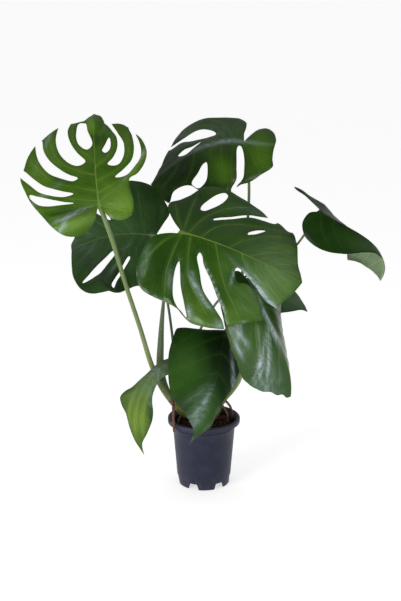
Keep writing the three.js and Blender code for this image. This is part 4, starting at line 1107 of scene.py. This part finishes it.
def fibre_material():
    m = Shader("peat_fibre")
    tone = m.noise(160)
    colour = m.mix(m.step(tone, 0.35, 0.65), srgb(58, 28, 22), srgb(98, 56, 43))
    return m.finish(Base_Color=colour, Roughness=0.85, Normal=m.bump(tone, 0.0004, 0.6))


def chip_material():
    m = Shader("bark_chip")
    tone = m.noise(220, 4, 0.6)
    colour = m.mix(m.step(tone, 0.35, 0.65), srgb(16, 10, 8), srgb(60, 34, 26))
    return m.finish(Base_Color=colour, Roughness=0.9, Normal=m.bump(tone, 0.001, 0.9))


def random_on_soil(rng, margin):
    radius = inner_radius(UNDER_LIP, margin) * sqrt(rng.random())
    turn = rng.random() * 2 * pi
    return Vector((radius * cos(turn), radius * sin(turn), 0))


def fibre_points(middle, heading, length, radius, bend, rise):
    """The rings of one fibre, which arches over the soil and stays inside the pot."""
    limit = inner_radius(UNDER_LIP, FIBRE_GAP)
    points = []
    for i in range(FIBRE_STEPS + 1):
        u = i / FIBRE_STEPS
        turn = heading + bend * u
        side = Vector((-sin(turn), cos(turn), 0))
        centre = middle + Vector((cos(turn), sin(turn), 0)) * length * (u - 0.5)
        centre *= min(1, limit / max(1, centre.length))
        centre.z = soil_height(centre.x, centre.y) + 0.2 + rise * sin(pi * u)
        points += [centre + side * x + UP * y for x, y, _ in ring(radius, 0, FIBRE_SIDES)]
    return points


def make_fibres():
    """Thin reddish fibres lying on the soil and poking out of it."""
    rng = random.Random(FIBRE_SEED)
    vertices, faces = [], []
    for _ in range(FIBRES):
        middle = random_on_soil(rng, FIBRE_MARGIN)
        heading = rng.random() * 2 * pi
        drawn = [rng.uniform(*limits) for limits in (FIBRE_LENGTH, FIBRE_RADIUS, FIBRE_BEND, FIBRE_RISE)]
        faces += closed_faces(FIBRE_SIDES, FIBRE_STEPS + 1, len(vertices))
        vertices += fibre_points(middle, heading, *drawn)
    finish_piece(make_object("soil_fibres", vertices, faces), "soil", None, fibre_material())


def make_chips():
    """Small bark chips and crumbs, half sunk in the soil."""
    rng = random.Random(CHIP_SEED)
    stretch, width, height = CHIP_SHARES
    bm = bmesh.new()
    for _ in range(CHIPS):
        place = random_on_soil(rng, CHIP_MARGIN)
        size = rng.uniform(*CHIP_SIZE)
        place.z = soil_height(place.x, place.y) + 0.3 * size
        turn = Matrix.Rotation(rng.random() * 2 * pi, 3, "Z")
        squash = rng.uniform(*height)
        for v in bmesh.ops.create_icosphere(bm, subdivisions=1, radius=size * MM)["verts"]:
            p = v.co * rng.uniform(*stretch)
            v.co = turn @ Vector((p.x, p.y * rng.uniform(*width), p.z * squash)) + place * MM
    mesh = bpy.data.meshes.new("soil_chips")
    bm.to_mesh(mesh)
    bm.free()
    finish_piece(add_object("soil_chips", mesh), "soil", None, chip_material())


# ---- pot

def wall_point(z, out=0):
    return (wall_radius(z) + out, z)


def arc(centre_r, centre_z, radius, first, last, count):
    turns = np.radians(np.linspace(first, last, count))
    return [(centre_r + radius * cos(a), centre_z + radius * sin(a)) for a in turns]


def pot_profile():
    """The section of the pot's wall, from the middle of the floor's underside round to its upper side."""
    skirt = FOOT_RADIUS - WALL
    bead = UNDER_LIP - BEAD_DROP
    section = [(0.01, FLOOR_HEIGHT), (skirt - 0.8, FLOOR_HEIGHT), (skirt, FLOOR_HEIGHT - 0.8), (skirt, 0.4)]
    section += arc(FOOT_RADIUS - WALL / 2, SKIRT_ROUND, SKIRT_ROUND, 200, 340, 5)
    section += [(FOOT_RADIUS + 0.1, 1.2), (FOOT_RADIUS + 1, SHOULDER_HEIGHT - 2.6)]
    section += arc(SHOULDER_RADIUS - SHOULDER_ROUND, SHOULDER_HEIGHT - SHOULDER_ROUND / 2, SHOULDER_ROUND,
                   -60, 0, 4)
    section += [wall_point(SHOULDER_HEIGHT + 8), wall_point(bead - 30), wall_point(bead - 1.2)]
    section += [wall_point(bead, BEAD), wall_point(bead + 1.2, BEAD), wall_point(bead + 2.2)]
    section += [wall_point(UNDER_LIP - 1), wall_point(UNDER_LIP, 1)]
    section += arc(LIP_RADIUS - LIP_ROUND / 2, UNDER_LIP + LIP_ROUND / 2, LIP_ROUND / 2, -90, 0, 5)
    section += arc(LIP_RADIUS - LIP_ROUND, POT_HEIGHT - LIP_ROUND, LIP_ROUND, 0, 90, 8)
    section += arc(LIP_RADIUS - 5, POT_HEIGHT - LIP_INNER_ROUND, LIP_INNER_ROUND, 90, 160, 5)
    section += [(wall_radius(UNDER_LIP) - WALL + 1.6, UNDER_LIP + 2), wall_point(UNDER_LIP, 0.4 - WALL)]
    return section + [wall_point(FLOOR_TOP + 6, -WALL), (skirt - 1, FLOOR_TOP), (0.01, FLOOR_TOP)]


def lathe(name, section, sides):
    """A closed body turned round the middle axis."""
    vertices = [point for radius, z in section for point in ring(radius, z, sides)]
    return make_object(name, vertices, closed_faces(sides, len(section)))


def notch(angle):
    """A prism through the skirt with the moulded notch's outline, its upper corners rounded."""
    high = NOTCH_WIDTH_TOP / 2 - NOTCH_CORNER
    right = [(NOTCH_WIDTH_BOTTOM / 2, -1)] + arc(high, NOTCH_HEIGHT - NOTCH_CORNER, NOTCH_CORNER, 10, 80, 4)
    section = right + [(-x, z) for x, z in right[::-1]]
    vertices = [(x, y, z) for y in (-FOOT_RADIUS - 6, -FOOT_RADIUS + 10) for x, z in section]
    faces = [face[::-1] for face in closed_faces(len(section), 2)]
    prism = make_object("notch", vertices, faces, False)
    prism.rotation_euler[2] = radians(angle)
    return prism


def drain_hole(angle):
    hole = lathe("hole", [(DRAIN_HOLE_RADIUS, -2 * FLOOR), (DRAIN_HOLE_RADIUS, 2 * FLOOR)], HOLE_SIDES)
    turn = radians(angle)
    place = (DRAIN_RING_RADIUS * sin(turn), -DRAIN_RING_RADIUS * cos(turn), FLOOR_HEIGHT + FLOOR / 2)
    hole.location = Vector(place) * MM
    return hole


def cut_with(obj, cutters):
    for cutter in cutters:
        modifier = obj.modifiers.new("cut", "BOOLEAN")
        modifier.object = cutter
        modifier.operation = "DIFFERENCE"
        modifier.solver = "EXACT"
    graph = bpy.context.evaluated_depsgraph_get()
    mesh = bpy.data.meshes.new_from_object(obj.evaluated_get(graph))
    obj.modifiers.clear()
    obj.data = mesh
    for cutter in cutters:
        bpy.data.objects.remove(cutter)


def make_pot():
    pot = lathe("nursery_pot", pot_profile(), POT_SIDES)
    cutters = [notch(NOTCH_FIRST_ANGLE + i * 360 / NOTCH_COUNT) for i in range(NOTCH_COUNT)]
    cutters += [drain_hole(NOTCH_FIRST_ANGLE + (i + 0.5) * 360 / DRAIN_HOLES) for i in range(DRAIN_HOLES)]
    cut_with(pot, cutters)
    pot.data.shade_smooth()
    pot.data.set_sharp_from_angle(angle=radians(35))
    finish_piece(pot, "pot_plastic", "pot", pot_material())


def pot_material():
    """Dark slate-blue moulded plastic, faintly mottled, a little dusty low down, with a painted highlight
    along the lip.
    """
    m = Shader("slate_plastic")
    height = m.node("SeparateXYZ", {0: m.place()}).outputs[2]
    cloud = m.noise(30)
    scuffs = m.noise(160, 5, 0.7, m.place((1, 1, 0.15)))
    dust = m.times(m.step(height, 0.05, 0), m.step(m.noise(70, 4, 0.65), 0.4, 0.7))
    colour = m.mix(m.step(cloud, 0.35, 0.7), srgb(30, 33, 52), srgb(38, 41, 62))
    colour = m.mix(dust, colour, srgb(80, 78, 84), 0.35)
    # painted highlight: lighter along the lip
    colour = m.mix(m.step(height, 0.150, 0.162), colour, srgb(78, 81, 98), 0.3)
    colour = m.mix(m.step(scuffs, 0.66, 0.74), colour, srgb(84, 86, 100), 0.25)
    return m.finish(Base_Color=colour, Roughness=m.times_plus(cloud, 0.15, 0.38),
                    Normal=m.bump(m.noise(900, 2, 0.6), 0.0002, 0.4), Specular_IOR_Level=0.22)


# ---- camera and studio

WHITE = (1, 1, 1, 1)
PAPER = (0.95, 0.95, 0.95, 1)
PAPER_GLOW = 0.62
PAPER_REACH = 1000000  # far enough for it to fill the picture
SUN_COLOUR = (0.97, 0.98, 1.0)
SUN_POWER = 0.45
SUN_SPREAD = 90  # degrees
LAMP_COLOUR = (1.0, 0.98, 0.95)
# lamps: place and target, width and height, and power
LAMPS = {
    "key": ((-2.1, -2.3, 0.8), (0, 0, 0.5), 1.4, 1.6, 56),
    "fill": ((2.3, -2.0, 0.9), (0, 0, 0.4), 0.8, 1.2, 11),
}
# surroundings: where along a direction's height or depth the light changes, and the light at either end
LIGHT_BY_HEIGHT = (0.02, 0.28, 0.8, 0.0)
LIGHT_BY_DEPTH = (-0.1, 0.7, 0.12, 0.4)


def make_camera():
    data = bpy.data.cameras.new("camera")
    data.sensor_width = SENSOR
    data.lens = SENSOR * FOCAL_PIXELS / FRAME_HEIGHT_PIXELS
    data.clip_end = VIEW_DEPTH
    camera = add_object("camera", data)
    camera.location = Vector(CAMERA_PLACE) * MM
    camera.rotation_euler = (radians(90 - CAMERA_PITCH), 0, 0)
    bpy.context.scene.camera = camera


def make_floor():
    corners = [(PAPER_REACH * x, PAPER_REACH * y, 0) for x, y in ((-1, -1), (1, -1), (1, 1), (-1, 1))]
    floor = make_object("studio_floor", corners, [(0, 1, 2, 3)], False)
    paper = Shader("studio_paper").finish(Base_Color=PAPER, Roughness=0.9, Specular_IOR_Level=0.0,
                                          Emission_Color=WHITE, Emission_Strength=PAPER_GLOW)
    floor.data.materials.append(paper)


def add_light(name, data, place, target, power, colour):
    data.energy = power
    data.color = colour
    light = add_object(name, data)
    light.location = place
    light.rotation_euler = (Vector(target) - Vector(place)).to_track_quat("-Z", "Y").to_euler()
    light.visible_camera = False


def soft_box(name, place, target, width, height, power):
    data = bpy.data.lights.new(name, "AREA")
    data.shape = "RECTANGLE"
    data.size = width
    data.size_y = height
    add_light(name, data, place, target, power, LAMP_COLOUR)


def make_lights():
    ceiling = bpy.data.lights.new("ceiling", "SUN")
    ceiling.angle = radians(SUN_SPREAD)
    add_light("ceiling", ceiling, (0.6, 1.0, 4.5), (0, 0, 0.4), SUN_POWER, SUN_COLOUR)
    for name, numbers in LAMPS.items():
        soft_box(name, *numbers)


def make_surroundings():
    """A white studio: bright low down, behind and overhead, and darker over the camera."""
    world = bpy.data.worlds.new("studio")
    world.use_nodes = True
    bpy.context.scene.world = world
    w = Nodes(world.node_tree)
    _, depth, height = w.node("SeparateXYZ", {0: w.node("TexCoord").outputs["Generated"]}).outputs
    light = w.math("MAXIMUM", w.ramp(height, *LIGHT_BY_HEIGHT), w.ramp(depth, *LIGHT_BY_DEPTH))
    background = world.node_tree.nodes["Background"]
    w.put(background.inputs["Color"], WHITE)
    w.put(background.inputs["Strength"], light)


make_camera()
make_leaves()
make_stalks()
make_roots()
make_soil()
make_fibres()
make_chips()
make_pot()
make_floor()
make_lights()
make_surroundings()

bpy.context.scene.view_settings.view_transform = "Standard"
